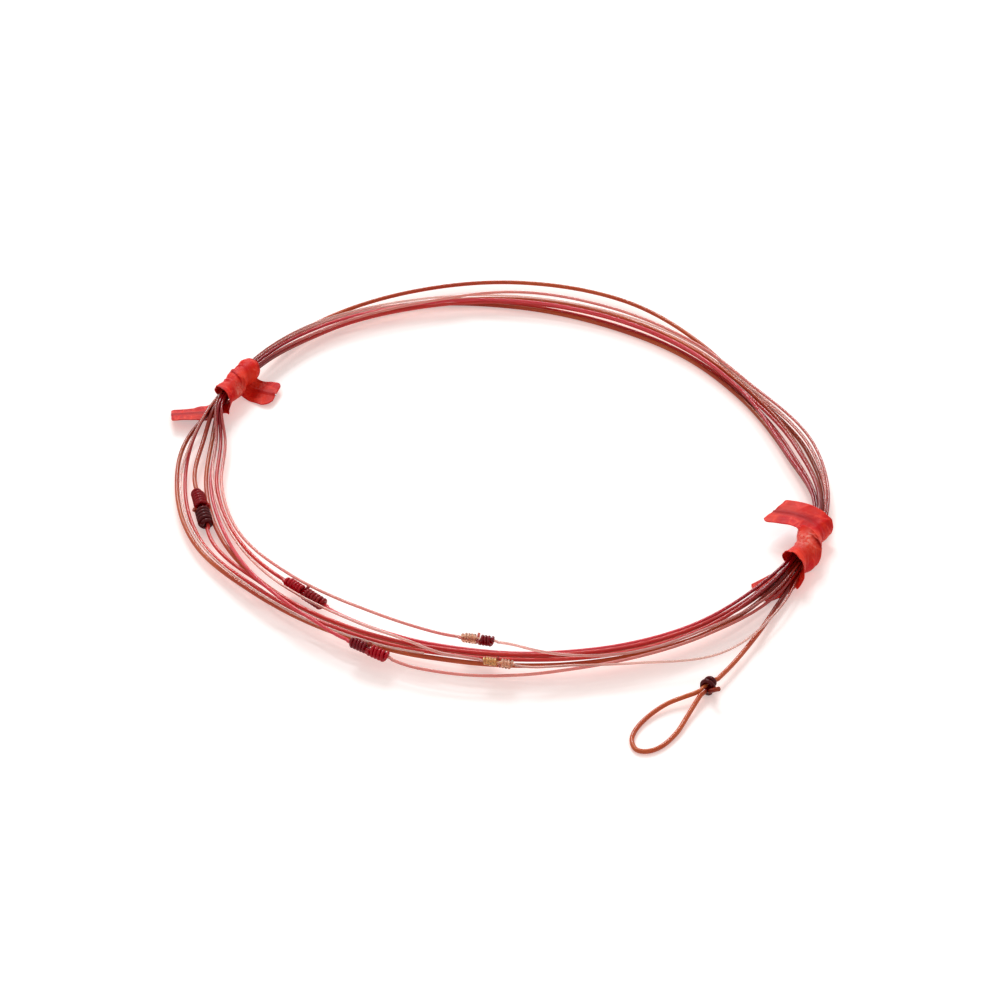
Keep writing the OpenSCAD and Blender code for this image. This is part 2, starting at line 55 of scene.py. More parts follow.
MM = 0.001
COIL_CENTRE = np.array([0.95, 4.93, 0.0])

# Sizes that several classes share, in millimetres.
RING_RADIUS = 41.0
LANE = 0.70
TURN_GAP = 0.03
CORE_GAP = 0.02
TIE_WIRE = 0.32
WIRE_COVER = 0.12
FLOOR_GAP = 0.005

# A knot's turns have eight corners each. The lines in a knot are pressed, so the
# shares are of a line's thickness: across the two lines in its core, from its axis
# to one of them, and under its turns. A line bends into its knot over ENTRY_BEND
# diameters of the other line.
TURN_POINTS = 8
FLAT = math.cos(math.radians(22.5))
CORE_SHARE = 0.72
SIDE_SHARE = 0.35
WOUND_SHARE = 0.46
TURN_SETTLE = 0.965
ENTRY_BEND = 2.2


# ---------- Numbers and colours ----------


def srgb(red: float, green: float, blue: float) -> Rgb:
    """A colour given from 0 to 255 as the eye reads it, in linear light.

    Args:
        red: Red, from 0 to 255.
        green: Green.
        blue: Blue.

    Returns:
        The colour.
    """
    return tuple(
        c / 12.92 if c <= 0.04045 else ((c + 0.055) / 1.055) ** 2.4
        for c in (red / 255, green / 255, blue / 255)
    )


def unit(v: Array) -> Array:
    """The direction of a vector."""
    return v / max(float(np.linalg.norm(v)), 1e-12)


def to_metres(points: Array) -> Array:
    """Points measured from the coil's centre, in the row frame and in metres."""
    return (np.asarray(points, float) + COIL_CENTRE) * MM


def travel_of(points: Array) -> Array:
    """How far along a path each of its points is."""
    steps = np.linalg.norm(np.diff(points, axis=0), axis=1)
    return np.concatenate([[0.0], np.cumsum(steps)])


def spaced(points: Array, step: float) -> Array:
    """A path again, with points a step apart.

    Args:
        points: The path.
        step: Distance from point to point.

    Returns:
        The path's new points, its first and last among them.
    """
    along = travel_of(points)
    at = np.linspace(0, along[-1], max(2, math.ceil(along[-1] / step) + 1))
    return np.stack([np.interp(at, along, points[:, k]) for k in range(3)], axis=1)


def smooth_through(points: Array, steps: int) -> Array:
    """A smooth curve through points, whose outer two are guides only.

    Args:
        points: Guide, points of the curve, guide.
        steps: Pieces that each stretch is cut into.

    Returns:
        The curve's points, the last stretch's end among them.
    """
    out = []
    for i in range(1, len(points) - 2):
        a, b, c, d = points[i - 1 : i + 3]
        for j in range(steps):
            t = j / steps
            out.append(
                b
                + (c - a) * t / 2
                + (2 * a - 5 * b + 4 * c - d) * t * t / 2
                + (3 * b - a - 3 * c + d) * t**3 / 2
            )
    out.append(points[-2])
    return np.array(out)


def with_ends(points: Array) -> Array:
    """Points with one guide more before the first and after the last."""
    return np.concatenate([[2 * points[0] - points[1]], points, [2 * points[-1] - points[-2]]])


# ---------- The lines and their route ----------


class Line(Enum):
    """The six lengths of line, from the thick butt to the thin tippet."""

    BUTT = 0
    SECOND = 1
    THIRD = 2
    FOURTH = 3
    FIFTH = 4
    TIPPET = 5

    @property
    def diameter(self) -> float:
        """The line's diameter in millimetres."""
        return (0.60, 0.50, 0.45, 0.40, 0.35, 0.30)[self.value]

    @property
    def word(self) -> str:
        """The line's name in pieces and nodes."""
        return self.name.lower()

    @property
    def slot(self) -> str:
        """The record's material slot, which is also the piece's name."""
        return f"{self.word}_line"


Places = dict[int, tuple[float, float]]


@dataclass(frozen=True)
class Bundle:
    """The strands inside one tie, lowest first: strand, lanes out, lanes up.

    Attributes:
        strands: Each strand's number and place.
        middle: Lanes up to the middle of the bundle.
        shift: Lanes outwards from the ring.
        squeeze: How far the tie draws the strands together, sideways and upright.
    """

    strands: tuple[tuple[int, float, float], ...]
    middle: float
    shift: float
    squeeze: tuple[float, float] = (0.76, 0.88)

    def places(self) -> Places:
        """Each strand's place in the bundle, drawn together by the tie.

        Returns:
            Lanes out and lanes up, by strand.
        """
        wide, high = self.squeeze
        return {
            strand: (out * wide, self.middle + (up - self.middle) * high)
            for strand, out, up in self.strands
        }


@dataclass
class TieRoom:
    """Room that a tie's turns need round the bundle.

    Attributes:
        last_turn: Extra radius of the strip's last turn, its lowest.
        extra: Extra radius of all its turns.
        wire_half: Half the strip's thickness over its wire.
        pile_half: Half width and half height of the bundle.
    """

    last_turn: float
    extra: float
    wire_half: float = TIE_WIRE / 2 + WIRE_COVER
    pile_half: tuple[float, float] = (2.05 * LANE, 1.68 * LANE)

    def radii(self) -> tuple[float, float]:
        """Half width and half height of the strip's first turn."""
        return tuple(r + self.wire_half + self.extra for r in self.pile_half)

    def middle(self) -> float:
        """Height of the bundle's middle, with the strip's lowest turn on the floor."""
        return self.radii()[1] + self.last_turn + self.wire_half


LEFT_ROOM = TieRoom(last_turn=0.72, extra=0.0)
RIGHT_ROOM = TieRoom(last_turn=0.34, extra=0.06)
LEFT_BUNDLE = Bundle(
    ((1, 0.95, 0), (2, -0.55, 0), (4, 1.4, 0.86), (5, -1.1, 0.85), (3, 0.2, 1.28),
     (7, -1.28, 1.55), (6, -0.55, 1.72), (8, 0.05, 2.05), (9, 0.85, 1.85)),
    middle=0.88, shift=-0.4)
RIGHT_BUNDLE = Bundle(
    ((8, 1.56, 0.15), (2, -0.75, 0), (0, 0.75, 0), (6, 1.5, 0.75), (3, -0.9, 0.9),
     (1, 0, 1.28), (7, 0.9, 1.35), (5, -1.5, 1.6), (4, -0.45, 2.2)),
    middle=1.06, shift=3.9)


@dataclass(frozen=True)
class KnotPlan:
    """One blood knot between two rows of the coil.

    Attributes:
        strand: Strand that it lies on.
        row: Row that it follows.
        share: Its place between that row and the next.
        line_in: The thicker line that comes in.
        turns_in: Turns that the line in makes.
        turns_out: Turns that the line out makes.
    """

    strand: int
    row: int
    share: float
    line_in: Line
    turns_in: int
    turns_out: int

    @property
    def line_out(self) -> Line:
        """The thinner line that goes on from the knot."""
        return Line(self.line_in.value + 1)


@dataclass
class CoilRoute:
    """The route of the whole line round the coil, from the butt to the tippet.

    Strand 0 starts at the right tie, and the strand number goes up by one at
    the back of the coil. A place is lanes outwards from the ring, and lanes up.

    Attributes:
        ring_radius: The ring's own radius.
        lane: Distance from lane to lane.
        early: Where the fourth line leaves the others: angle, lanes out, height.
        early_knot: The knot that it reaches from there.
        start_row: Row at which the butt line joins the coil.
        end_row: Row after which the tippet ends.
        near: A point of the coil nearer than this to a line's end is left out.
        rows: Angle, height of lane 0, lanes out and the places of the strands.
        knots: The five knots, from the butt line on.
    """

    ring_radius: float = RING_RADIUS
    lane: float = LANE
    early: tuple[float, float, float] = (271.4, -4.0, 2.9)
    early_knot: int = 3
    start_row: int = 16
    end_row: int = 10
    near: float = 1.0
    rows: list[tuple[float, float, float, Places]] = field(default_factory=list)
    knots: tuple[KnotPlan, ...] = (
        KnotPlan(3, 5, 0.50, Line.BUTT, 5, 6),
        KnotPlan(5, 7, 0.49, Line.SECOND, 6, 6),
        KnotPlan(6, 9, 0.49, Line.THIRD, 5, 5),
        KnotPlan(7, 11, 0.50, Line.FOURTH, 4, 5),
        KnotPlan(8, 11, 0.69, Line.FIFTH, 4, 5),
    )

    def __post_init__(self) -> None:
        """Fills the rows of places, with the two bundles where the ties are."""
        left, right = LEFT_BUNDLE, RIGHT_BUNDLE
        left_base = LEFT_ROOM.middle() - left.middle * self.lane
        right_base = RIGHT_ROOM.middle() - right.middle * self.lane
        self.rows = [
            (107.5, 0.35, 0, {7: (-2.6, 3.05), 5: (-2.0, 1.5), 6: (-1.8, 2.3),
                              2: (-1.0, 1.6), 8: (0.2, 1.35), 3: (0.9, 0.2),
                              9: (1.1, 1.5), 4: (1.9, 0.05), 1: (4.9, 0.95)}),
            (128.5, 0.9, 0.8, {7: (-2.0, 1.6), 5: (-1.8, 0.7), 2: (-0.9, 0),
                               6: (-0.9, 1.7), 8: (-0.1, 1.8), 3: (0.4, 0.9),
                               9: (1.0, 1.6), 4: (1.8, 0.8), 1: (2.6, 0)}),
            (148, left_base, left.shift, left.places()),
            (162, left_base, left.shift, left.places()),
            (172, 1.3, 0, {7: (-4.9, 0.5), 5: (-4.0, 0.1), 8: (-3.1, 1.3),
                           6: (-3.1, 0.4), 2: (-2.2, 0), 3: (-0.7, 0.6),
                           4: (1.2, 0.95), 9: (1.0, 1.9), 1: (2.7, 0)}),
            (186, 1.1, 0, {7: (-5.4, 0.1), 5: (-4.5, 0), 8: (-3.8, 1.0),
                           6: (-3.35, 0), 2: (-2.45, 0), 3: (-0.4, 0.4),
                           4: (1.55, 0), 9: (2.4, 0.9), 1: (3.1, 0)}),
            (201, 1.1, 0, {7: (-6.0, 0), 5: (-5.1, 0), 8: (-4.3, 0.9),
                           6: (-3.4, 0.5), 2: (-2.5, 0), 3: (-0.6, 0.4),
                           4: (1.3, 0), 9: (2.0, 0.9), 1: (2.7, 0)}),
            (220.5, 1.6, 0, {7: (-7.9, 0), 5: (-6.1, 0), 8: (-4.2, 1.0),
                             2: (-2.7, 0), 3: (-2.0, 0.75), 6: (-1.4, 1.9),
                             4: (-0.65, 0.65), 9: (0.3, 1.0), 1: (0.2, 0)}),
            (235, 1.8, 0, {7: (-8.8, 0), 5: (-5.6, 0), 8: (-4.0, 1.4), 2: (-3.0, 0),
                           3: (-2.4, 0.8), 4: (-1.1, 0.8), 1: (-0.6, 0),
                           9: (-0.1, 0.95), 6: (0.1, 1.9)}),
            (241.5, 1.9, 0, {7: (-8.8, 0), 5: (-5.1, 0), 8: (-3.7, 1.4),
                             2: (-3.05, 0), 3: (-2.45, 0.8), 4: (-1.15, 0.8),
                             1: (-0.7, 0), 9: (-0.25, 0.95), 6: (1.1, 1.4)}),
            (253.5, 1.9, 0, {7: (-7.9, 0), 5: (-4.4, 0), 2: (-3.0, 0),
                             3: (-2.4, 0.8), 8: (-2.0, 1.8), 4: (-1.1, 0.8),
                             1: (-0.65, 0), 9: (-0.25, 1.0), 6: (2.4, 0.2)}),
            (260.5, 2.0, 0, {7: (-6.9, 0), 5: (-3.9, 0), 2: (-2.75, 0),
                             3: (-2.2, 0.85), 4: (-0.9, 0.85), 1: (-0.4, 0),
                             9: (-0.1, 1.0), 8: (0.1, 1.8), 6: (3.0, 0)}),
            (274, 2.0, 0, {5: (-2.6, 0.1), 2: (-1.75, 0), 3: (-1.3, 0.85),
                           4: (0, 0.85), 1: (0.6, 0), 7: (-2.3, 1.9), 8: (2.0, 1.0),
                           6: (3.0, 0)}),
            (282, 2.0, 0, {5: (-1.8, 0.2), 2: (-0.8, 0), 3: (-0.4, 0.85),
                           4: (0.9, 0.85), 1: (1.4, 0), 7: (1.1, 1.9), 6: (2.7, 0),
                           8: (2.8, 0.95)}),
            (292, 1.9, 0, {5: (-0.8, 0.2), 2: (0.3, 0), 3: (0.7, 0.85),
                           4: (2.0, 0.9), 1: (2.3, 0), 7: (2.9, 1.4), 6: (3.2, 0.3),
                           8: (4.8, 0.5)}),
            (306, 1.7, 0, {5: (0.6, 0.4), 2: (1.5, 0), 3: (1.8, 0.85),
                           4: (3.1, 1.1), 1: (3.4, 0), 7: (3.9, 1.6), 6: (4.3, 0.6),
                           8: (9.1, -0.1)}),
            (320, 1.4, 0, {0: (6.5, -0.5), 5: (1.5, 1.05), 2: (2.4, 0),
                           3: (2.4, 0.9), 1: (4.0, 0.7), 4: (3.4, 1.95),
                           7: (4.9, 1.5), 6: (5.3, 0.7), 8: (7.6, 0.35)}),
            (332, right_base, right.shift, right.places()),
            (344, right_base, right.shift, right.places()),
            (364.5, 0.35, 0, {5: (-3.4, 2.35), 2: (-2.5, 0.5), 3: (-1.9, 1.35),
                              4: (-1.0, 2.5), 1: (-0.2, 1.6), 0: (1.6, 0.7),
                              7: (1.8, 2.15), 8: (2.4, 1.45), 6: (2.7, 2.5)}),
            (388, 0.35, 0, {5: (-4.9, 2.2), 2: (-4.9, 0.15), 4: (-4.3, 1.5),
                            3: (-3.9, 0.05), 1: (-3.3, 1.6), 7: (-2.5, 1.15),
                            6: (-2.2, 2.15), 0: (-2.0, 0.2), 8: (-1.9, 1.2)}),
            (405.5, 0.35, 0, {2: (-4.8, 0.05), 5: (-4.7, 2.3), 4: (-4.2, 1.5),
                              3: (-3.9, 0.05), 1: (-3.2, 1.6), 7: (-2.2, 1.15),
                              6: (-1.9, 2.15), 8: (-1.3, 1.2), 0: (0.2, 0.8)}),
            (426, 0.35, 0, {2: (-4.2, 0), 5: (-4.1, 2.3), 4: (-3.4, 1.5), 3: (-3.2, 0),
                            1: (-2.4, 1.65), 7: (-1.5, 1.15), 6: (-1.4, 2.65),
                            8: (-0.9, 1.3), 0: (4.5, 0.95)}),
            (446.5, 0.35, 0, {5: (-3.0, 2.3), 4: (-2.5, 1.5), 2: (-2.0, 0),
                              1: (-1.5, 1.65), 3: (-1.1, 0), 6: (-0.9, 3.05),
                              7: (-0.6, 1.15), 8: (0.1, 1.35), 0: (5.8, 0.95)}),
        ]

    def ring_number(self, strand: int, row: int) -> int:
        """The number of a strand's ring, counted from strand 0's first row."""
        return strand * len(self.rows) + row

    def polar(self, radius: float, angle: float, height: float) -> Array:
        """A point given by its radius, angle and height."""
        a = math.radians(angle)
        return np.array([radius * math.cos(a), radius * math.sin(a), height])

    def ring_point(self, number: int) -> Array:
        """The middle of the line at a ring.

        Args:
            number: The ring's number.

        Returns:
            The point.
        """
        angle, height, shift, places = self.rows[number % len(self.rows)]
        out, up = places[number // len(self.rows)]
        return self.polar(
            self.ring_radius + (out + shift) * self.lane, angle, height + up * self.lane
        )

    @property
    def early_point(self) -> Array:
        """Where the fourth line leaves the others to reach its knot."""
        angle, out, height = self.early
        return self.polar(self.ring_radius + out * self.lane, angle, height)

    @property
    def early_number(self) -> float:
        """The early point's place among the rings."""
        plan = self.knots[self.early_knot]
        return self.ring_number(plan.strand, plan.row) + 0.5

    def knot_ends(self, k: int) -> tuple[Array, Array]:
        """The two points that a knot lies straight between.

        Args:
            k: The knot, from 0.

        Returns:
            The point before the knot and the one after it.
        """
        plan = self.knots[k]
        first = self.ring_number(plan.strand, plan.row)
        last = self.early_point if k == self.early_knot else self.ring_point(first + 1)
        return self.ring_point(first), last

    def knot_frame(self, k: int) -> tuple[Array, Array]:
        """A knot's centre and the direction of travel through it."""
        start, end = self.knot_ends(k)
        return start + (end - start) * self.knots[k].share, unit(end - start)

    def wound(self, thickness: float, turns: int) -> float:
        """Length of the half of a knot that a line winds."""
        return (turns - 5 / TURN_POINTS) * (thickness + TURN_GAP) + thickness / 2 + CORE_GAP * 2

    def halves(self, k: int) -> tuple[float, float]:
        """Half lengths of a knot on the side of the line in, and of the line out.

        Args:
            k: The knot, from 0.

        Returns:
            The two half lengths.
        """
        plan = self.knots[k]
        return (
            self.wound(plan.line_out.diameter, plan.turns_out),
            self.wound(plan.line_in.diameter, plan.turns_in),
        )

    def knot_reach(self, k: int, going_out: bool) -> Array:
        """Where a line meets its knot.

        Args:
            k: The knot, from 0.
            going_out: True for the thinner line that goes on.

        Returns:
            The point.
        """
        plan, (centre, along) = self.knots[k], self.knot_frame(k)
        near_in, near_out = self.halves(k)
        d_in, d_out = plan.line_in.diameter, plan.line_out.diameter
        if going_out:
            return centre + along * (near_out + ENTRY_BEND * d_in + d_out)
        return centre - along * (near_in + ENTRY_BEND * d_out + d_in)

    def rings_between(self, first: float, last: float) -> list[Array]:
        """The middles of the rings from one number to another, early point included.

        Args:
            first: Number to start from.
            last: Number to end at.

        Returns:
            The points in order.
        """
        numbers = range(math.ceil(first), math.floor(last) + 1)
        out = [self.ring_point(g) for g in numbers if g < self.early_number]
        if first < self.early_number < last:
            out.append(self.early_point)
        return out + [self.ring_point(g) for g in numbers if g > self.early_number]

    def coil_guides(self, line: Line) -> tuple[Array, Array | None, Array | None]:
        """The points that a line's coil goes through.

        Args:
            line: Which of the six lines.

        Returns:
            The points, and the directions at its two ends where a knot sets them.
        """
        i = line.value
        if line is Line.BUTT:
            first = self.ring_point(self.ring_number(0, self.start_row))
            start_number, start_way = self.ring_number(0, self.start_row) + 1, None
        else:
            plan = self.knots[i - 1]
            first = self.knot_reach(i - 1, True)
            start_number = self.ring_number(plan.strand, plan.row) + 1
            start_way = self.knot_frame(i - 1)[1]
            if line is Line.FIFTH:
                start_number = self.early_number
        if line is Line.TIPPET:
            end_number = self.ring_number(9, self.end_row)
            last = (self.ring_point(end_number) + self.ring_point(end_number + 1)) / 2
            end_way = None
        else:
            plan = self.knots[i]
            last = self.knot_reach(i, False)
            end_number = self.ring_number(plan.strand, plan.row)
            end_way = self.knot_frame(i)[1]
        between = [
            p
            for p in self.rings_between(start_number, end_number)
            if min(np.linalg.norm(p - first), np.linalg.norm(p - last)) > self.near
        ]
        return np.array([first, *between, last]), start_way, end_way

    def round_path(
        self, points: Array, start_way: Array | None, end_way: Array | None, step: float
    ) -> Array:
        """A smooth path through points round the ring.

        Radius and height follow the angle, so that a stretch at one radius is
        a true arc, and the height never swings past the points that it joins.

        Args:
            points: Points that the path goes through.
            start_way: Direction at the first point, or None.
            end_way: Direction at the last point, or None.
            step: Distance between the path's points.

        Returns:
            The path's points.
        """
        angle = np.unwrap(np.arctan2(points[:, 1], points[:, 0]))
        tracks = np.stack([np.hypot(points[:, 0], points[:, 1]), points[:, 2]], axis=1)
        gaps = np.diff(angle)
        secant = np.diff(tracks, axis=0) / gaps[:, None]
        slope = np.zeros_like(tracks)
        weight = gaps[:-1] / (gaps[:-1] + gaps[1:])
        slope[1:-1] = secant[:-1] * (1 - weight)[:, None] + secant[1:] * weight[:, None]
        slope[0], slope[-1] = secant[0], secant[-1]
        turned = secant[:-1, 1] * secant[1:, 1] <= 0
        slope[1:-1, 1][turned] = 0
        limit = 3 * np.minimum(abs(secant[:-1, 1]), abs(secant[1:, 1]))
        slope[1:-1, 1] = np.clip(slope[1:-1, 1], -limit, limit)
        for at, way in ((0, start_way), (-1, end_way)):
            if way is not None:
                out = unit(points[at] * [1, 1, 0])
                round_way = np.array([-out[1], out[0], 0])
                slope[at] = tracks[at, 0] / (way @ round_way) * np.array([way @ out, way[2]])
        fine = []
        for i, gap in enumerate(gaps):
            count = max(2, math.ceil(gap * tracks[i, 0] / (step / 3)))
            t = (np.arange(count) / count)[:, None]
            fine.append(
                np.concatenate(
                    [
                        angle[i] + gap * t,
                        tracks[i] * (2 * t**3 - 3 * t**2 + 1)
                        + slope[i] * gap * (t**3 - 2 * t**2 + t)
                        + tracks[i + 1] * (3 * t**2 - 2 * t**3)
                        + slope[i + 1] * gap * (t**3 - t**2),
                    ],
                    axis=1,
                )
            )
        fine.append(np.array([[angle[-1], *tracks[-1]]]))
        a, r, z = np.concatenate(fine).T
        return spaced(np.stack([r * np.cos(a), r * np.sin(a), z], axis=1), step)


# ---------- Meshes and pieces ----------


def mark(mesh: bpy.types.Mesh, name: str, values: Array) -> None:
    """Gives each point of a mesh a number.

    Args:
        mesh: The mesh.
        name: The attribute's name.
        values: The numbers, point by point.
    """
    made = mesh.attributes.new(name, "FLOAT", "POINT")
    made.data.foreach_set("value", np.asarray(values, np.float32).ravel())


def linked(name: str, data: bpy.types.ID) -> bpy.types.Object:
    """An object of a mesh, a lamp or a camera, in the scene.

    Args:
        name: The object's name.
        data: What it shows.

    Returns:
        The object.
    """
    made = bpy.data.objects.new(name, data)
    bpy.context.scene.collection.objects.link(made)
    return made


def shown(mesh: bpy.types.Mesh, finish: bpy.types.Material, sharp: float) -> bpy.types.Object:
    """Makes a piece of a mesh, smooth but for its sharp edges.

    Args:
        mesh: The mesh, named for the piece.
        finish: Its material.
        sharp: Angle in degrees from which an edge is sharp.

    Returns:
        The piece.
    """
    piece = linked(mesh.name, mesh)
    mesh.shade_smooth()
    mesh.set_sharp_from_angle(angle=math.radians(sharp))
    if not len(mesh.materials):
        mesh.materials.append(finish)
    log.info("%s: %d faces", piece.name, len(mesh.polygons))
    return piece


def declared(piece: bpy.types.Object, slot: str, *nodes: str) -> bpy.types.Object:
    """Hides the CAD nodes that a piece stands for, and hangs the piece on the root body.

    Args:
        piece: The piece, which belongs to the root body.
        slot: Its material slot in the record; not used.
        *nodes: CAD nodes that it stands for.

    Returns:
        The piece.
    """
    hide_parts(*nodes)
    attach(piece, "root")
    return piece


# ---------- Nodes ----------


class Value:
    """A socket of a node tree, with sums written as Python."""

    def __init__(self, nodes: "Nodes", socket: bpy.types.NodeSocket) -> None:
        """Wraps a socket."""
        self.nodes, self.socket = nodes, socket

    def _math(self, operation: str, *others: "Value | float", clamp: bool = False) -> "Value":
        """Adds a Math node on this value and others.

        Args:
            operation: The node's operation.
            *others: Its other values.
            clamp: True to keep the result from 0 to 1.

        Returns:
            The result.
        """
        given = {str(i): value for i, value in enumerate((self, *others))}
        settings = {"operation": operation, "use_clamp": clamp}
        return self.nodes.value(self.nodes.node("ShaderNodeMath", settings, **given))

    def __add__(self, other: "Value | float") -> "Value":
        """Sum."""
        return self._math("ADD", other)

    __radd__ = __add__

    def __mul__(self, other: "Value | float") -> "Value":
        """Product."""
        return self._math("MULTIPLY", other)

    __rmul__ = __mul__

    def __sub__(self, other: "Value | float") -> "Value":
        """Difference."""
        return self._math("SUBTRACT", other)

    def __rsub__(self, other: float) -> "Value":
        """Difference from a number."""
        return (self * -1.0) + other

    def clamped(self) -> "Value":
        """The value kept from 0 to 1."""
        return self._math("ADD", 0.0, clamp=True)

    def ramp(self, low: float, high: float) -> "Value":
        """0 below low and 1 above high, smoothly between.

        Args:
            low: Value up to which it is 0.
            high: Value from which it is 1.

        Returns:
            The share from 0 to 1.
        """
        made = self.nodes.node(
            "ShaderNodeMapRange", {"interpolation_type": "SMOOTHSTEP"},
            Value=self, From_Min=low, From_Max=high,
        )
        return self.nodes.value(made)


class Nodes:
    """A node tree in the making, of a material, the sky or a shape."""

    def __init__(self, tree: bpy.types.NodeTree) -> None:
        """Starts with an empty tree."""
        self.tree = tree
        tree.nodes.clear()

    def node(self, kind: str, settings: dict | None = None, **values: object) -> bpy.types.Node:
        """Adds a node.

        Args:
            kind: The node's type.
            settings: Properties that are set before its sockets.
            **values: Values or links of its sockets, by name with _ for a
                space, or by number.

        Returns:
            The node.
        """
        made = self.tree.nodes.new(kind)
        for key, value in (settings or {}).items():
            setattr(made, key, value)
        for key, value in values.items():
            self.put(made.inputs[int(key) if key.isdigit() else key.replace("_", " ")], value)
        return made

    def put(self, socket: bpy.types.NodeSocket, value: object) -> None:
        """Links or sets one socket.

        Args:
            socket: The socket.
            value: A value, link, colour or number.
        """
        if isinstance(value, Value):
            self.tree.links.new(value.socket, socket)
        elif isinstance(value, bpy.types.NodeSocket):
            self.tree.links.new(value, socket)
        elif isinstance(value, tuple) and len(value) == 3 and socket.type == "RGBA":
            socket.default_value = (*value, 1.0)
        else:
            socket.default_value = value

    def value(self, node: bpy.types.Node, output: str | int = 0) -> Value:
        """One output of a node."""
        return Value(self, node.outputs[output])

    def looked_at(self) -> Value:
        """1 for rays that look at a background, straight, by gloss or through.

        Returns:
            1 or 0.
        """
        path = self.node("ShaderNodeLightPath")
        seen = self.value(path, "Is Camera Ray") + self.value(path, "Is Glossy Ray")
        return (seen + self.value(path, "Is Transmission Ray")).clamped()


# ---------- The tube that every line is ----------


class TubeTree(Nodes):
    """A geometry node tree that sweeps a round skin along a path of points.

    The path's points carry their own radius, distance travelled and depth in a knot or
    bundle, which the finish turns into painted shade. The skin keeps them, and gets the
    direction round the line, so that a finish can follow the line.
    """

    def __init__(self, name: str) -> None:
        """Builds the tree.

        Args:
            name: The tree's name.
        """
        super().__init__(bpy.data.node_groups.new(name, "GeometryNodeTree"))
        self.sharp = 50.0
        self.inputs: dict[str, str] = {}
        for title, kind in (
            ("Path", "NodeSocketGeometry"),
            ("Sides", "NodeSocketInt"),
            ("Thickness", "NodeSocketFloat"),
            ("Finish", "NodeSocketMaterial"),
        ):
            made = self.tree.interface.new_socket(title, in_out="INPUT", socket_type=kind)
            self.inputs[title] = made.identifier
        self.tree.interface.new_socket("Skin", in_out="OUTPUT", socket_type="NodeSocketGeometry")
        given = self.node("NodeGroupInput")
        line = self.node("GeometryNodeMeshToCurve", Mesh=given.outputs["Path"])
        radius = self.node(
            "GeometryNodeInputNamedAttribute", {"data_type": "FLOAT"}, Name="radius")
        scaled = self.value(radius) * self.value(given, "Thickness")
        ring = self.node(
            "GeometryNodeCurvePrimitiveCircle", Resolution=given.outputs["Sides"], Radius=1.0)
        spot = self.node("GeometryNodeInputPosition")
        marked = self.node(
            "GeometryNodeStoreNamedAttribute",
            {"data_type": "FLOAT_VECTOR", "domain": "POINT"},
            Geometry=ring.outputs["Curve"],
            Name="girth",
            Value=spot.outputs["Position"],
        )
        skin = self.node(
            "GeometryNodeCurveToMesh",
            Curve=line.outputs["Curve"],
            Profile_Curve=marked.outputs["Geometry"],
            Scale=scaled,
            Fill_Caps=True,
        )
        real = self.node("GeometryNodeRealizeInstances", Geometry=skin.outputs["Mesh"])
        dressed = self.node(
            "GeometryNodeSetMaterial",
            Geometry=real.outputs["Geometry"],
            Material=given.outputs["Finish"],
        )
        self.node("NodeGroupOutput", Skin=dressed.outputs["Geometry"])

    def sweep(
        self,
        name: str,
        points: Array,
        radius: Array,
        finish: bpy.types.Material,
        sides: int = 12,
        depth: Array | None = None,
    ) -> bpy.types.Object:
        """Sweeps one tube, as a plain mesh in the row frame.

        Args:
            name: The piece's name.
            points: The path's points, from the coil's centre.
            radius: The tube's radius at each point.
            finish: Its material.
            sides: Corners round the tube.
            depth: How deep in a knot or bundle each point lies, from 0 to 1, which sets its
                painted shade.

        Returns:
            The piece.
        """
        guide = bpy.data.meshes.new(name + "_guide")
        edges = [(i, i + 1) for i in range(len(points) - 1)]
        guide.from_pydata([tuple(p) for p in to_metres(points)], edges, [])
        tracks = {
            "radius": np.broadcast_to(radius, len(points)),
            "travel": travel_of(points),
            "depth": np.zeros(len(points)) if depth is None else depth,
        }
        for key, values in tracks.items():
            mark(guide, key, values)
        source = linked(guide.name, guide)
        modifier = source.modifiers.new("tube", "NODES")
        modifier.node_group = self.tree
        modifier[self.inputs["Sides"]] = sides
        modifier[self.inputs["Thickness"]] = MM
        modifier[self.inputs["Finish"]] = finish
        graph = bpy.context.evaluated_depsgraph_get()
        mesh = bpy.data.meshes.new_from_object(source.evaluated_get(graph))
        bpy.data.objects.remove(source)
        bpy.data.meshes.remove(guide)
        mesh.name = name
        return shown(mesh, finish, self.sharp)


class Paint(Nodes):
    """A material in the making."""

    def __init__(self, name: str) -> None:
        """Starts an empty material.

        Args:
            name: The material's name.
        """
        self.material = bpy.data.materials.new(name)
        self.material.use_nodes = True
        super().__init__(self.material.node_tree)

    def attribute(self, name: str, output: str = "Fac") -> Value:
        """An attribute of the piece's own mesh."""
        return self.value(self.node("ShaderNodeAttribute", {"attribute_name": name}), output)

    def blend(self, share: Value | float, low: object, high: object) -> Value:
        """Mixes two colours.

        Args:
            share: 0 for the first colour and 1 for the second.
            low: First colour.
            high: Second colour.

        Returns:
            The mixed colour.
        """
        given = {"Factor": share, "6": low, "7": high}
        return self.value(self.node("ShaderNodeMix", {"data_type": "RGBA"}, **given), 2)

    def noise(self, at: Value, scale: float, detail: float = 3.0, rough: float = 0.55) -> Value:
        """A soft noise from 0 to 1.

        Args:
            at: Coordinates.
            scale: Its fineness.
            detail: Octaves.
            rough: Weight of the finer octaves.

        Returns:
            The noise.
        """
        return self.value(self.node(
            "ShaderNodeTexNoise", Vector=at, Scale=scale, Detail=detail, Roughness=rough))

    def stretched(self, at: Value, by: tuple[float, float, float]) -> Value:
        """Coordinates scaled along their three directions."""
        return self.value(self.node("ShaderNodeMapping", Vector=at, Scale=by))

    def bump(self, height: Value, strength: float, distance: float) -> Value:
        """A normal bent by a height."""
        return self.value(
            self.node("ShaderNodeBump", Height=height, Strength=strength, Distance=distance))

    def finish(self, shader: bpy.types.Node) -> bpy.types.Material:
        """Sends a shader to the surface and hands the material over."""
        self.node("ShaderNodeOutputMaterial", Surface=shader.outputs[0])
        return self.material


# ---------- Finishes ----------


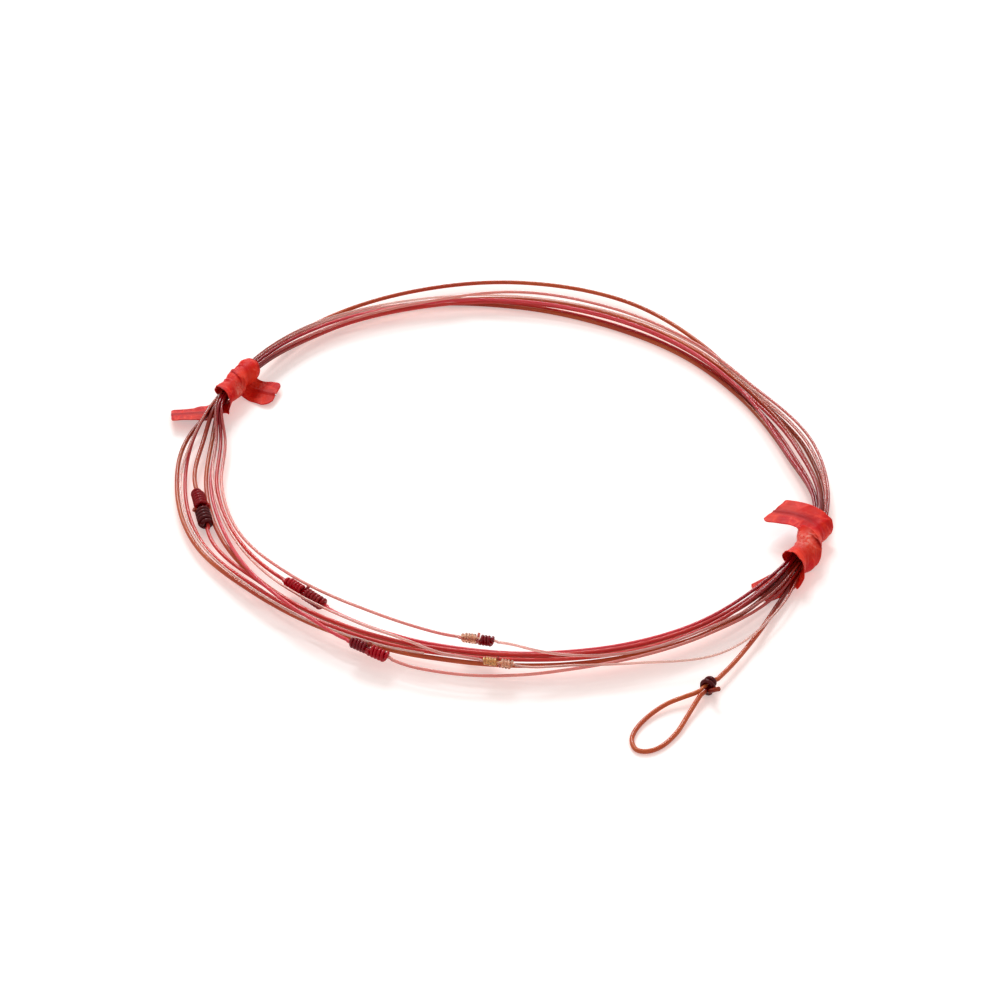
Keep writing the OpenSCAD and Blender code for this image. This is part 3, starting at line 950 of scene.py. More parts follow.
@dataclass(frozen=True)
class NylonFinish:
    """Drawn nylon line: tinted, glossy and clear in part, with painted shade where it lies packed
    in the bundle and where it is knotted.

    Attributes:
        name: The material's name.
        tint: The line's usual colour.
        warm: The colour that it drifts to along its length.
        bundled: Painted shade where it lies packed in the bundle by the ties.
        knotted: The colour where the line is wound on itself: painted shade between the wraps,
            with the deeper tone of line over line.
        clearness: Share of light that passes through.
        roughness: Roughness of the drawn skin.
        wear: How strongly the skin's streaks and scuffs show.
        glow: Share of light that spreads inside the line.
    """

    name: str
    tint: Rgb
    warm: Rgb
    bundled: Rgb
    knotted: Rgb
    clearness: float
    roughness: float = 0.16
    wear: float = 1.0
    glow: float = 0.3

    def make(self) -> bpy.types.Material:
        """Builds the material.

        Returns:
            The material.
        """
        paint = Paint(self.name)
        run = paint.value(paint.node("ShaderNodeCombineXYZ", Z=paint.attribute("travel")))
        given = {"0": paint.attribute("girth", "Vector"), "1": run}
        skin = paint.value(paint.node("ShaderNodeVectorMath", {"operation": "ADD"}, **given))
        drift = paint.noise(paint.stretched(skin, (0.05, 0.05, 0.055)), 1.0, 2.0)
        colour = paint.blend(drift.ramp(0.36, 0.66), self.tint, self.warm)
        streak = paint.noise(paint.stretched(skin, (1.6, 1.6, 0.10)), 1.0, 3.0, 0.6)
        colour = paint.blend(
            streak.ramp(0.5, 0.8) * (0.35 * self.wear), colour,
            tuple(c * 0.5 for c in self.tint))
        depth = paint.attribute("depth")
        # Painted shade: the line darkens where it lies packed in the bundle by the ties.
        colour = paint.blend(depth.ramp(0.0, 0.9), colour, self.bundled)
        # Painted shade on a knot's wound turns, with the deeper tone of line wound over line.
        colour = paint.blend(depth.ramp(0.92, 1.0), colour, self.knotted)
        gleam = depth.ramp(0.92, 1.0) * -0.09 + 0.12
        scuff = paint.noise(paint.stretched(skin, (1.2, 1.2, 0.5)), 1.0, 3.0, 0.6)
        rough = self.roughness + scuff.ramp(0.45, 0.8) * (0.10 * self.wear)
        return paint.finish(paint.node(
            "ShaderNodeBsdfPrincipled",
            Base_Color=colour, Roughness=rough, IOR=1.45, Specular_IOR_Level=0.12,
            Normal=paint.bump(streak + scuff * 0.5, 0.08 * self.wear, 0.00002),
            Coat_Weight=gleam, Coat_Roughness=0.07, Transmission_Weight=self.clearness,
            Subsurface_Weight=self.glow, Subsurface_Radius=(1.0, 0.35, 0.25),
            Subsurface_Scale=0.0006,
        ))


@dataclass(frozen=True)
class TieFinish:
    """Soft red plastic strip, whitened where it has been creased, with painted shade, painted
    highlights and a painted highlight spot.

    Attributes:
        name: The material's name.
        face: The strip's usual colour.
        deep: The colour in its ribs, and painted shade where it lies flat on its wire.
        light: The colour of its random clouds, and a painted highlight along its creases.
        stress: The colour where it is whitened by creasing, and of a painted highlight spot.
    """

    name: str = "tie_plastic"
    face: Rgb = srgb(228, 18, 26)
    deep: Rgb = srgb(158, 0, 14)
    light: Rgb = srgb(250, 70, 44)
    stress: Rgb = srgb(252, 176, 164)

    def make(self) -> bpy.types.Material:
        """Builds the material.

        Returns:
            The material.
        """
        paint = Paint(self.name)
        at = paint.value(paint.node("ShaderNodeTexCoord"), "Object")
        strip = paint.attribute("strip", "Vector")
        cloud = paint.noise(at, 260.0, 4.0)
        colour = paint.blend(cloud.ramp(0.35, 0.7), self.face, self.light)
        rib = paint.noise(paint.stretched(strip, (0.35, 5.0, 1.0)), 1.0, 4.0)
        colour = paint.blend(rib.ramp(0.52, 0.78) * 0.5, colour, self.deep)
        crease, scar = paint.attribute("crease"), paint.attribute("scar")
        # Painted shade where the crumpled plastic lies low.
        colour = paint.blend((1 - paint.attribute("stand")).clamped() * 0.8, colour, self.deep)
        # Painted highlight along the crease ridges.
        colour = paint.blend(crease * 0.7, colour, self.light)
        speck = paint.noise(at, 2600.0, 4.0, 0.7)
        # Whitening on the creases, and a painted highlight drawn as whitening at one spot.
        white = crease * speck.ramp(0.5, 0.7) * 0.3 + scar * speck.ramp(0.35, 0.6) * (crease + 0.5)
        colour = paint.blend(white.clamped() * 0.8, colour, self.stress)
        fine = paint.noise(at, 1500.0, 5.0, 0.65)
        return paint.finish(paint.node(
            "ShaderNodeBsdfPrincipled",
            Base_Color=colour, Roughness=0.34 + fine * 0.2, IOR=1.5, Specular_IOR_Level=0.10,
            Normal=paint.bump(rib * 0.6 + fine * 0.4 + cloud, 0.7, 0.00014),
            Subsurface_Weight=0.18, Subsurface_Radius=(0.0012, 0.0004, 0.0003),
            Subsurface_Scale=0.5,
        ))


@dataclass(frozen=True)
class WireFinish:
    """Thin zinc-plated steel wire, mottled bright and dull by a fine grain."""

    name: str = "tie_wire"
    bright: Rgb = srgb(186, 186, 190)
    dull: Rgb = srgb(120, 116, 114)

    def make(self) -> bpy.types.Material:
        """Builds the material.

        Returns:
            The material.
        """
        paint = Paint(self.name)
        at = paint.value(paint.node("ShaderNodeTexCoord"), "Object")
        grain = paint.noise(at, 4000.0, 4.0)
        colour = paint.blend(grain.ramp(0.4, 0.7), self.bright, self.dull)
        return paint.finish(paint.node(
            "ShaderNodeBsdfPrincipled",
            Base_Color=colour, Metallic=1.0, Roughness=0.28 + grain * 0.25,
            Normal=paint.bump(grain, 0.3, 0.00002),
        ))


# Each finish: name, tint, warm drift, painted bundle shade, knot colour with its painted shade,
# clearness, then roughness, wear and glow.
LINE_FINISHES: dict[Line, NylonFinish] = {
    Line.BUTT: NylonFinish(
        "butt_nylon", srgb(206, 108, 62), srgb(190, 78, 50), srgb(128, 28, 20),
        srgb(86, 0, 4), 0.12, wear=0.35),
    Line.SECOND: NylonFinish(
        "second_nylon", srgb(226, 76, 68), srgb(212, 56, 58), srgb(138, 8, 20),
        srgb(156, 0, 16), 0.2, wear=0.7),
    Line.THIRD: NylonFinish(
        "third_nylon", srgb(238, 88, 102), srgb(230, 72, 84), srgb(152, 10, 28),
        srgb(196, 0, 30), 0.25, wear=0.7),
    Line.FOURTH: NylonFinish(
        "fourth_nylon", srgb(242, 156, 150), srgb(246, 178, 166), srgb(176, 44, 42),
        srgb(150, 0, 26), 0.40, wear=0.5),
    Line.FIFTH: NylonFinish(
        "fifth_nylon", srgb(246, 192, 182), srgb(248, 208, 198), srgb(196, 72, 58),
        srgb(250, 206, 178), 0.7, 0.24, 0.2, 0.1),
    Line.TIPPET: NylonFinish(
        "tippet_nylon", srgb(244, 206, 196), srgb(248, 220, 210), srgb(204, 92, 72),
        srgb(252, 210, 146), 0.7, 0.24, 0.15, 0.1),
}


# ---------- Lines, knots and the butt end ----------


@dataclass
class Winding:
    """One line's half of a knot, in the knot's own frame.

    The line passes through at the side, turns round at its far end and winds
    back to the middle, where its trimmed tag stands off.

    Attributes:
        own: Diameter of the line that winds.
        other: Diameter of the line that it winds on.
        turns: Turns that it makes.
        near: Half length that it passes through first.
        far: Half length that it winds.
        tag: Length of its trimmed tag.
    """

    own: float
    other: float
    turns: int
    near: float
    far: float
    tag: float

    @property
    def radius(self) -> float:
        """Radius that the middle of the wound line keeps from the axis."""
        corner = CORE_SHARE * (self.own + self.other) / 2 + CORE_GAP + WOUND_SHARE * self.own
        return corner / FLAT * TURN_SETTLE

    def inward(self, leg: float | None) -> Array:
        """The line's way in and through the knot, along its side.

        Args:
            leg: Side that the line comes in at, or None to come in on the axis.

        Returns:
            The points.
        """
        own, other, near = self.own, self.other, self.near
        side = -(SIDE_SHARE * other + CORE_GAP / 2)
        start = -near - ENTRY_BEND * other - own
        if leg is None:
            entry = [[start, 0, 0], [start + own, 0, 0], [-near - 1.2 * other, side, 0]]
        else:
            entry = [[-near - 1.6 * own, leg, 0], [-near - 0.6 * own, leg, 0], [-near, side, 0]]
        entry += [[0, side, 0], [self.far - 0.3 * own, side, 0]]
        before, after = [entry[0][0] - own, entry[0][1], 0], [self.far + own, side, 0]
        return smooth_through(np.array([before, *entry, after]), 8)

    def wound(self) -> Array:
        """The turns, from the far end back to the middle.

        Returns:
            The points.
        """
        own, far, last = self.own, self.far, self.turns * TURN_POINTS
        pitch = own + TURN_GAP
        last_x = far + 0.05 * own - (last - 5) * pitch / TURN_POINTS
        keys = np.array([1, 2, 3, 4, 5, last])
        places = np.array([far + 0.5 * own, far + 0.65 * own, far + 0.55 * own,
                           far + 0.3 * own, far + 0.05 * own, last_x])
        radii = np.array([0.75 * own, 1.02 * own, *[self.radius] * 4])
        s = np.arange(1, last + 0.01, 1 / 3)
        kernel = np.array([1, 2, 3, 2, 1]) / 9
        x, r = np.interp(s, keys, places), np.interp(s, keys, radii)
        for track in (x, r):
            track[2:-2] = np.convolve(track, kernel, "valid")
        a = np.radians(202.5 - 45 * s)
        wobble = 1 + 0.012 * np.sin(s * 1.7 + own * 40)
        return np.stack([x, r * wobble * np.cos(a), r * wobble * np.sin(a)], axis=1)

    def track(self, leg: float | None = None) -> tuple[Array, Array, Array]:
        """The winding's path.

        Args:
            leg: Side that the line comes in at, or None to come in on the axis.

        Returns:
            Points, radii and depths in the knot, which set its painted shade.
        """
        own, inward, wound = self.own, self.inward(leg), self.wound()
        leave = np.array([wound[-1, 0] - 0.1 * own, -self.radius - 0.05, 0.1 * own])
        tag_end = leave + np.array([0, -0.75, 0.66]) * self.tag
        tag = smooth_through(
            np.array([wound[-4], wound[-1], leave, tag_end, tag_end * 2 - leave]), 5)[1:]
        core = np.clip((inward[:, 0] + self.near) / (0.8 * own), 0, 1)
        core *= np.clip((self.far + 0.1 * own - inward[:, 0]) / (0.5 * own), 0, 1)
        radius = np.concatenate(
            [own / 2 - core * 0.14 * own, np.full(len(wound) + len(tag), own / 2)])
        ahead = np.clip((inward[:, 0] + self.near + 1.4 * own) / (1.4 * own), 0, 1)
        # Depth sets the knot's painted shade: full on the turns, fading along the tag.
        depth = np.concatenate([ahead, np.ones(len(wound)), np.linspace(1, 0.55, len(tag))])
        return np.concatenate([inward, wound, tag]), radius, depth

    def placed(self, points: Array, centre: Array, along: Array) -> Array:
        """Points of the knot's frame, from the coil's centre.

        Args:
            points: Points in the knot's frame.
            centre: The knot's centre.
            along: Direction of travel through it.

        Returns:
            The points.
        """
        aside = unit(np.cross([0, 0, 1], along))
        up = np.cross(along, aside)
        return centre + points @ np.stack([along, aside, up])


@dataclass
class KnotBuilder:
    """Makes the ten half knots that join the six lines.

    Attributes:
        route: Where the knots lie.
        tubes: The tree that sweeps them.
        finishes: The lines' materials.
        tag_length: Length of a trimmed tag.
        sides: Corners round the wound line.
        dark: How many of the knots, from the butt line on, are handed the slot name of a dark
            knot.
    """

    route: CoilRoute
    tubes: TubeTree
    finishes: dict[Line, bpy.types.Material]
    tag_length: float = 0.45
    sides: int = 14
    dark: int = 3

    def half(self, k: int, going_out: bool) -> bpy.types.Object:
        """One line's half of a knot.

        Args:
            k: The knot, from 0.
            going_out: True for the thinner line that goes on from the knot.

        Returns:
            The piece.
        """
        plan = self.route.knots[k]
        centre, along = self.route.knot_frame(k)
        near_in, near_out = self.route.halves(k)
        own, other = plan.line_in, plan.line_out
        near, far, turns = near_in, near_out, plan.turns_in
        if going_out:
            own, other, near, far, turns = other, own, near_out, near_in, plan.turns_out
            along = -along
        winding = Winding(own.diameter, other.diameter, turns, near, far, self.tag_length)
        points, radius, depth = winding.track()
        name = f"knot_{k + 1}_{own.word}_winding"
        piece = self.tubes.sweep(
            name + "_wraps", winding.placed(points, centre, along), radius,
            self.finishes[own], self.sides, depth)
        return declared(piece, "dark_knot_line" if k < self.dark else "pale_knot_line", name)


@dataclass
class ButtEnd:
    """The butt line's loop, the knot that closes it and the lead to the tie.

    Attributes:
        route: The coil that the lead goes on into.
        turns: Turns of the loop's knot.
        tag_length: Length of its trimmed tag.
        knot_spot: Where it lies.
        knot_lift: Height at which its lowest turn clears the floor.
        knot_way: Direction of the line through it.
        sides: Corners round the wound line.
    """

    route: CoilRoute
    turns: int = 2
    tag_length: float = 1.6
    knot_spot: tuple[float, float] = (25.4, -44.2)
    knot_lift: float = 0.05
    knot_way: tuple[float, float, float] = (0.67, 0.74, 0.0)
    sides: int = 16

    def __post_init__(self) -> None:
        """Works out the loop knot's frame."""
        d = Line.BUTT.diameter
        self.half = self.route.wound(d, self.turns) / 2
        corner = (CORE_SHARE * d + CORE_GAP + WOUND_SHARE * d) / FLAT
        height = FLAT * corner + WOUND_SHARE * d + self.knot_lift
        self.centre = np.array([*self.knot_spot, height])
        self.along = unit(np.array(self.knot_way))
        self.aside = unit(np.cross([0, 0, 1], self.along))
        self.leg_side = d / 2 + CORE_GAP
        self.leg_start = -self.half - 1.6 * d

    def at(self, x: float, y: float) -> Array:
        """A point of the knot's frame at its own height."""
        return self.centre + x * self.along + y * self.aside

    def path(self) -> Array:
        """The butt line from its knot, round the loop, back through and to the tie.

        Returns:
            The points.
        """
        d = Line.BUTT.diameter
        low, side = d / 2 + 2 * FLOOR_GAP, SIDE_SHARE * d + CORE_GAP / 2
        lead = self.half + ENTRY_BEND * d
        loop = [
            self.at(self.leg_start + 1.5, -self.leg_side), self.at(self.leg_start, -self.leg_side),
            [22.8, -48.9, 0.6], [21.4, -51.6, 0.4], [19.6, -53.8, low], [17.8, -54.8, low],
            [16.3, -54.4, low], [16.0, -52.3, low], [17.4, -49.6, 0.4], [20.3, -46.9, 0.7],
            self.at(self.leg_start, self.leg_side), self.at(-self.half, side),
            self.at(self.half + 1.2 * d, side), self.at(lead, 0), self.at(lead + d, 0),
            [28.9, -39.8, 1.0], [31.1, -36.3, 1.0], [33.1, -32.8, 1.0],
        ]
        first = self.route.ring_number(0, self.route.start_row)
        top, onward = self.route.ring_point(first), self.route.ring_point(first + 1)
        way = unit(onward - top)
        return smooth_through(np.array([*loop, top - way * d, top, top + way * 2]), 8)

    def knot(self, tubes: TubeTree, finish: bpy.types.Material) -> bpy.types.Object:
        """The knot that closes the loop.

        Args:
            tubes: The tree that sweeps it.
            finish: The butt line's material.

        Returns:
            The piece.
        """
        d = Line.BUTT.diameter
        winding = Winding(d, d, self.turns, self.half, self.half, self.tag_length)
        points, radius, depth = winding.track(-self.leg_side)
        piece = tubes.sweep(
            "butt_loop_knot_wraps", winding.placed(points, self.centre, self.along),
            radius, finish, self.sides, depth)
        return declared(piece, Line.BUTT.slot, "butt_loop_knot")


@dataclass
class LeaderLine:
    """One of the six lines as a free cord lying in the coil.

    Attributes:
        step: Distance between the points of its path.
        sides: Corners round it.
        free_radius: Radius past which it begins to lie apart from the bundle and lose its painted
            shade.
        free_span: Distance over which it does.
        packed: Painted shade where the strands lie packed in the bundle, by angle.
    """

    line: Line
    route: CoilRoute
    tubes: TubeTree
    finish: bpy.types.Material
    step: float = 0.35
    sides: int = 14
    free_radius: float = 45.5
    free_span: float = 2.0
    packed: tuple[tuple[float, float], ...] = (
        (100, 0.0), (122, 0.15), (138, 0.55), (148, 0.85), (164, 0.85), (172, 0.5),
        (186, 0.15), (202, 0.0), (298, 0.0), (312, 0.4), (326, 0.9), (346, 0.9),
        (353, 0.55), (370, 0.45), (386, 0.35), (402, 0.1), (418, 0.0), (460, 0.0))

    def shade(self, path: Array) -> Array:
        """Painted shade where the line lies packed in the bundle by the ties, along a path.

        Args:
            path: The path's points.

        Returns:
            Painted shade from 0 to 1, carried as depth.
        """
        keys, depths = zip(*self.packed)
        angle = np.degrees(np.arctan2(path[:, 1], path[:, 0])) % 360
        angle = np.where(angle < keys[0], angle + 360, angle)
        apart = np.hypot(path[:, 0], path[:, 1]) - self.free_radius
        return np.interp(angle, keys, depths) * np.clip(1 - apart / self.free_span, 0, 1)

    def path(self, butt: ButtEnd | None = None) -> Array:
        """The line's path.

        Args:
            butt: The butt end, which the first line starts with.

        Returns:
            Its points.
        """
        path = self.route.round_path(*self.route.coil_guides(self.line), self.step)
        if butt is not None:
            path = np.concatenate([butt.path()[:-1], path])
        path[:, 2] = np.maximum(path[:, 2], self.line.diameter / 2 + FLOOR_GAP)
        return path

    def build(
        self, path: Array, nodes: Sequence[str], pieces: Sequence[bpy.types.Object]
    ) -> bpy.types.Object:
        """Args:
            path: Its points.
            nodes: CAD nodes that it stands for.
            pieces: The half knots on it; not used.

        Returns:
            The piece.
        """
        d = self.line.diameter
        piece = self.tubes.sweep(
            f"{self.line.word}_line", path, np.full(len(path), d / 2), self.finish, self.sides,
            self.shade(path))
        declared(piece, self.line.slot, *nodes)
        return piece


# ---------- Ties ----------


TailRow = tuple[float, float, float, float, float]


@dataclass
class TwistTie:
    """A flat plastic strip with a wire along its middle, wound round the bundle.

    Its path runs in a frame at the tie: outwards, along the ring, and up.

    Attributes:
        side: Which tie it is.
        seed: Start of its crumpling.
        angle: Where it sits on the ring.
        shift: Lanes outwards from the ring.
        room: Its turns round the bundle.
        passes: Angle round the bundle, place along it and extra radius, turn by turn.
        tail_in: Tail rows of outwards, height, along, turn and tilt of the strip.
        tail_out: The same for the other tail.
        gather: Width along the strip: shares of its length, shares of its width.
        loose: Crumpling along the strip, in the same way.
        crown: How far the strip stands off at its middle, in the same way.
        cut: Slant of the first and of the last end.
        corner: How far the corners of the first and of the last end are rounded.
        scar: A painted highlight, drawn as a whitened spot: outwards, height, along, and its
            radius.
        closer: How much nearer to the bundle the plastic lies than its room allows.
        snug: Share of the extra radius of its passes that the plastic takes.
        width: The strip's width.
        wing: Thickness of its wings.
        fold_step: Degrees round the bundle from guide to guide.
        pleat: Height of its crumpling.
        steps: Rows from guide to guide.
        slant_reach: Distance over which a slanted end squares up.
        sharp: Angle in degrees from which its creases are sharp.
    """

    side: str
    seed: float
    angle: float
    shift: float
    room: TieRoom
    passes: tuple[tuple[float, float, float], ...]
    tail_in: tuple[TailRow, ...]
    tail_out: tuple[TailRow, ...]
    gather: tuple[tuple[float, ...], tuple[float, ...]]
    loose: tuple[tuple[float, ...], tuple[float, ...]]
    crown: tuple[tuple[float, ...], tuple[float, ...]]
    cut: tuple[float, float]
    corner: tuple[float, float]
    scar: tuple[float, float, float, float]
    closer: tuple[float, float] = (0.60, 0.45)
    snug: float = 0.30
    width: float = 5.0
    wing: float = 0.16
    fold_step: float = 22.5
    pleat: float = 0.15
    steps: int = 8
    slant_reach: float = 2.4
    sharp: float = 42.0

    @property
    def ring(self) -> float:
        """Distance from the coil's centre to the middle of the bundle."""
        return RING_RADIUS + self.shift * LANE

    def guides(self) -> tuple[Array, Array]:
        """Points of the strip's middle and directions of its width.

        The turns follow the coil's bend, and the tails stand free of it.

        Returns:
            The points and the directions.
        """
        points, widths = [], []
        radii, middle = np.array(self.room.radii()) - self.closer, self.room.middle()
        keys = np.array(self.passes)[::-1]

        def tail(rows: Sequence[TailRow]) -> None:
            """Adds the rows of a tail.

            Args:
                rows: The tail's rows, in order.
            """
            for out, up, along, turn, tilt in rows:
                a, b = math.radians(turn), math.radians(tilt)
                points.append([out, along, up])
                widths.append([math.sin(a) * math.cos(b), math.cos(a) * math.cos(b), math.sin(b)])

        tail(self.tail_in)
        first, last = self.passes[0][0], self.passes[-1][0]
        for i in range(round((first - last) / self.fold_step) + 1):
            a = first - i * self.fold_step
            along = float(np.interp(a, keys[:, 0], keys[:, 1]))
            extra = float(np.interp(a, keys[:, 0], keys[:, 2])) * self.snug
            bend = along / self.ring
            apart = self.ring + (radii[0] + extra) * math.cos(math.radians(a))
            points.append([
                apart * math.cos(bend) - self.ring, apart * math.sin(bend),
                middle + (radii[1] + extra) * math.sin(math.radians(a))])
            widths.append([-math.sin(bend), math.cos(bend), 0])
        tail(self.tail_out)
        return np.array(points, float), np.array(widths, float)

    def track(self) -> tuple[Array, Array, Array]:
        """The smooth middle of the strip, its width direction and its face direction.

        Returns:
            The three, row by row.
        """
        points, widths = self.guides()
        middle = smooth_through(with_ends(points), self.steps)
        across = smooth_through(with_ends(widths), self.steps)
        along = np.gradient(middle, axis=0)
        along /= np.linalg.norm(along, axis=1)[:, None]
        across -= along * (across * along).sum(1)[:, None]
        across /= np.linalg.norm(across, axis=1)[:, None]
        face = np.cross(along, across)
        return middle, across, face

    def on_ring(self, points: Array) -> Array:
        """Points of the tie's frame, from the coil's centre.

        Args:
            points: Points in the tie's frame.

        Returns:
            The points.
        """
        a = math.radians(self.angle)
        out = np.array([math.cos(a), math.sin(a), 0])
        way = np.array([-math.sin(a), math.cos(a), 0])
        return out * self.ring + points @ np.stack([out, way, [0, 0, 1]])

    def section(self) -> tuple[Array, Array]:
        """The strip's outline across its width.

        Returns:
            Place across from -1 to 1, and half thickness there.
        """
        wing, wire = self.wing / 2, TIE_WIRE / 2 + WIRE_COVER * 0.3
        side = np.array([0.08, 0.16, 0.24, 0.34, 0.44, 0.54, 0.64, 0.74, 0.84, 0.92, 0.98, 1.0])
        across = np.concatenate([-side[::-1], [0.0], side])
        ridge = np.exp(-((across * (self.width / 2) / (wire * 1.05)) ** 4))
        half = wing + (wire - wing) * ridge
        half[[0, -1]] = wing * 0.45
        return across, half

    def crumple(self, run: float, across: float, share: float) -> tuple[float, float]:
        """How far the plastic stands off its wire at one spot.

        Args:
            run: Distance along the strip.
            across: Place across it, from -1 to 1.
            share: Share of the strip's length gone by.

        Returns:
            The lift, and how hard the spot is creased.
        """
        reach = min(1.0, max(0.0, abs(across) - 0.12) / 0.4)
        broad = 0.5 + 0.5 * noise.noise(Vector((run * 0.42, across * 0.8, self.seed)))
        cell = Vector((run * 0.62 + across * 0.35, across * 1.5 - run * 0.12, self.seed + 5))
        near, next_near = noise.voronoi(cell)[0][:2]
        ridge = max(0.0, 1 - (next_near - near) * 7.0)
        height = self.pleat * (0.7 * broad + 1.5 * min(near, 0.8))
        height *= float(np.interp(share, *self.loose))
        bow = float(np.interp(share, *self.crown)) * (1 - 2.4 * across * across)
        return reach * height + bow, reach * ridge

    def half_widths(self, run: Array) -> Array:
        """Half the strip's width along it, gathered, with its corners rounded.

        Args:
            run: Distance along the strip, row by row.

        Returns:
            The half widths.
        """
        reach = self.width / 2 * np.interp(run / run[-1], *self.gather)
        for gone, bend in ((run, self.corner[0]), (run[-1] - run, self.corner[1])):
            inside = np.clip(bend - gone, 0, bend)
            reach = reach - (bend - np.sqrt(bend**2 - inside**2))
        return reach

    def slants(self, run: Array) -> Array:
        """How far the strip's edge leads its middle, along it.

        Args:
            run: Distance along the strip, row by row.

        Returns:
            The leads.
        """
        at_start = np.clip(1 - run / self.slant_reach, 0, 1)
        at_end = np.clip(1 - (run[-1] - run) / self.slant_reach, 0, 1)
        return self.cut[0] * at_start - self.cut[1] * at_end

    def build(self, finish: bpy.types.Material) -> bpy.types.Object:
        """Builds the crumpled strip.

        Args:
            finish: Its plastic.

        Returns:
            The piece.
        """
        middle, across_way, face = self.track()
        run = travel_of(middle)
        share = run / run[-1]
        across, half = self.section()
        count, wide = len(middle), len(across)
        reach, slant = self.half_widths(run), self.slants(run)
        ahead = np.gradient(middle, axis=0)
        ahead /= np.linalg.norm(ahead, axis=1)[:, None]
        # A spot whitened as a painted highlight.
        highlight_spot_at, highlight_spot_size = np.array(self.scar)[[0, 2, 1]], self.scar[3]
        lift, crease, scar = np.zeros((3, count, wide))
        rings = []
        for i in range(count):
            top, under = [], []
            for j, v in enumerate(across):
                lift[i, j], crease[i, j] = self.crumple(run[i], v, share[i])
                spine = middle[i] + across_way[i] * v * reach[i] + ahead[i] * v * slant[i]
                scar[i, j] = math.exp(-(np.linalg.norm((spine - highlight_spot_at) / highlight_spot_size) ** 2))
                sheet = spine + face[i] * lift[i, j]
                sheet[2] = max(sheet[2], half[j] + FLOOR_GAP)
                top.append(sheet + face[i] * half[j])
                under.append(sheet - face[i] * half[j])
            rings.append(top + under[::-1])
        name = f"{self.side}_tie_strip"
        mesh = self.skin(name + "_plastic", np.array(rings))
        both = [*range(wide), *reversed(range(wide))]
        # How far the plastic stands off; the finish paints shade where it is low and highlights
        # along its creases.
        stand = (lift / max(float(lift.max()), 1e-6)) ** 0.5
        for title, values in (("crease", crease), ("scar", scar), ("stand", stand)):
            mark(mesh, title, values[:, both])
        on_strip = np.zeros((count, len(both), 3), np.float32)
        on_strip[:, :, 0] = run[:, None]
        on_strip[:, :, 1] = across[both] * self.width / 2
        spots = mesh.attributes.new("strip", "FLOAT_VECTOR", "POINT")
        spots.data.foreach_set("vector", on_strip.ravel())
        mesh.validate()
        self.face_out(mesh)
        return declared(shown(mesh, finish, self.sharp), "tie_plastic", name)

    def skin(self, name: str, rings: Array) -> bpy.types.Mesh:
        """A closed mesh through the strip's rings.

        Args:
            name: The mesh's name.
            rings: Rows of points, over the strip's top and back under it.

        Returns:
            The mesh.
        """
        count, loop = rings.shape[:2]
        corners = np.arange(count * loop).reshape(count, loop)
        onward = np.roll(corners, -1, axis=1)
        sides = np.stack([corners[:-1], onward[:-1], onward[1:], corners[1:]], axis=2)
        quads = sides.reshape(-1, 4).tolist()
        for row, flip in ((corners[0].tolist(), True), (corners[-1].tolist(), False)):
            for j in range(loop // 2 - 1):
                quad = (row[j], row[j + 1], row[loop - 2 - j], row[loop - 1 - j])
                quads.append(quad[::-1] if flip else quad)
        verts = to_metres(self.on_ring(rings.reshape(-1, 3)))
        mesh = bpy.data.meshes.new(name)
        mesh.from_pydata([tuple(p) for p in verts], [], quads)
        return mesh

    @staticmethod
    def face_out(mesh: bpy.types.Mesh) -> None:
        """Turns a closed mesh's faces outwards.

        Args:
            mesh: The mesh.
        """
        work = bmesh.new()
        work.from_mesh(mesh)
        bmesh.ops.recalc_face_normals(work, faces=work.faces)
        work.to_mesh(mesh)
        work.free()

    def core(self, tubes: TubeTree, finish: bpy.types.Material) -> bpy.types.Object:
        """The wire inside the strip.

        Args:
            tubes: The tree that sweeps it.
            finish: Its metal.

        Returns:
            The piece.
        """
        middle, _, face = self.track()
        run = travel_of(middle)
        middle = middle + face * np.interp(run / run[-1], *self.crown)[:, None]
        bare = 0.03
        first = middle[0] + unit(middle[0] - middle[1]) * bare
        last = middle[-1] + unit(middle[-1] - middle[-2]) * bare
        path = np.concatenate([[first], middle, [last]])
        name = f"{self.side}_tie_wire"
        piece = tubes.sweep(
            name + "_core", self.on_ring(path), np.full(len(path), TIE_WIRE / 2), finish, 10)
        return declared(piece, "tie_wire", name)


# ---------- Studio ----------


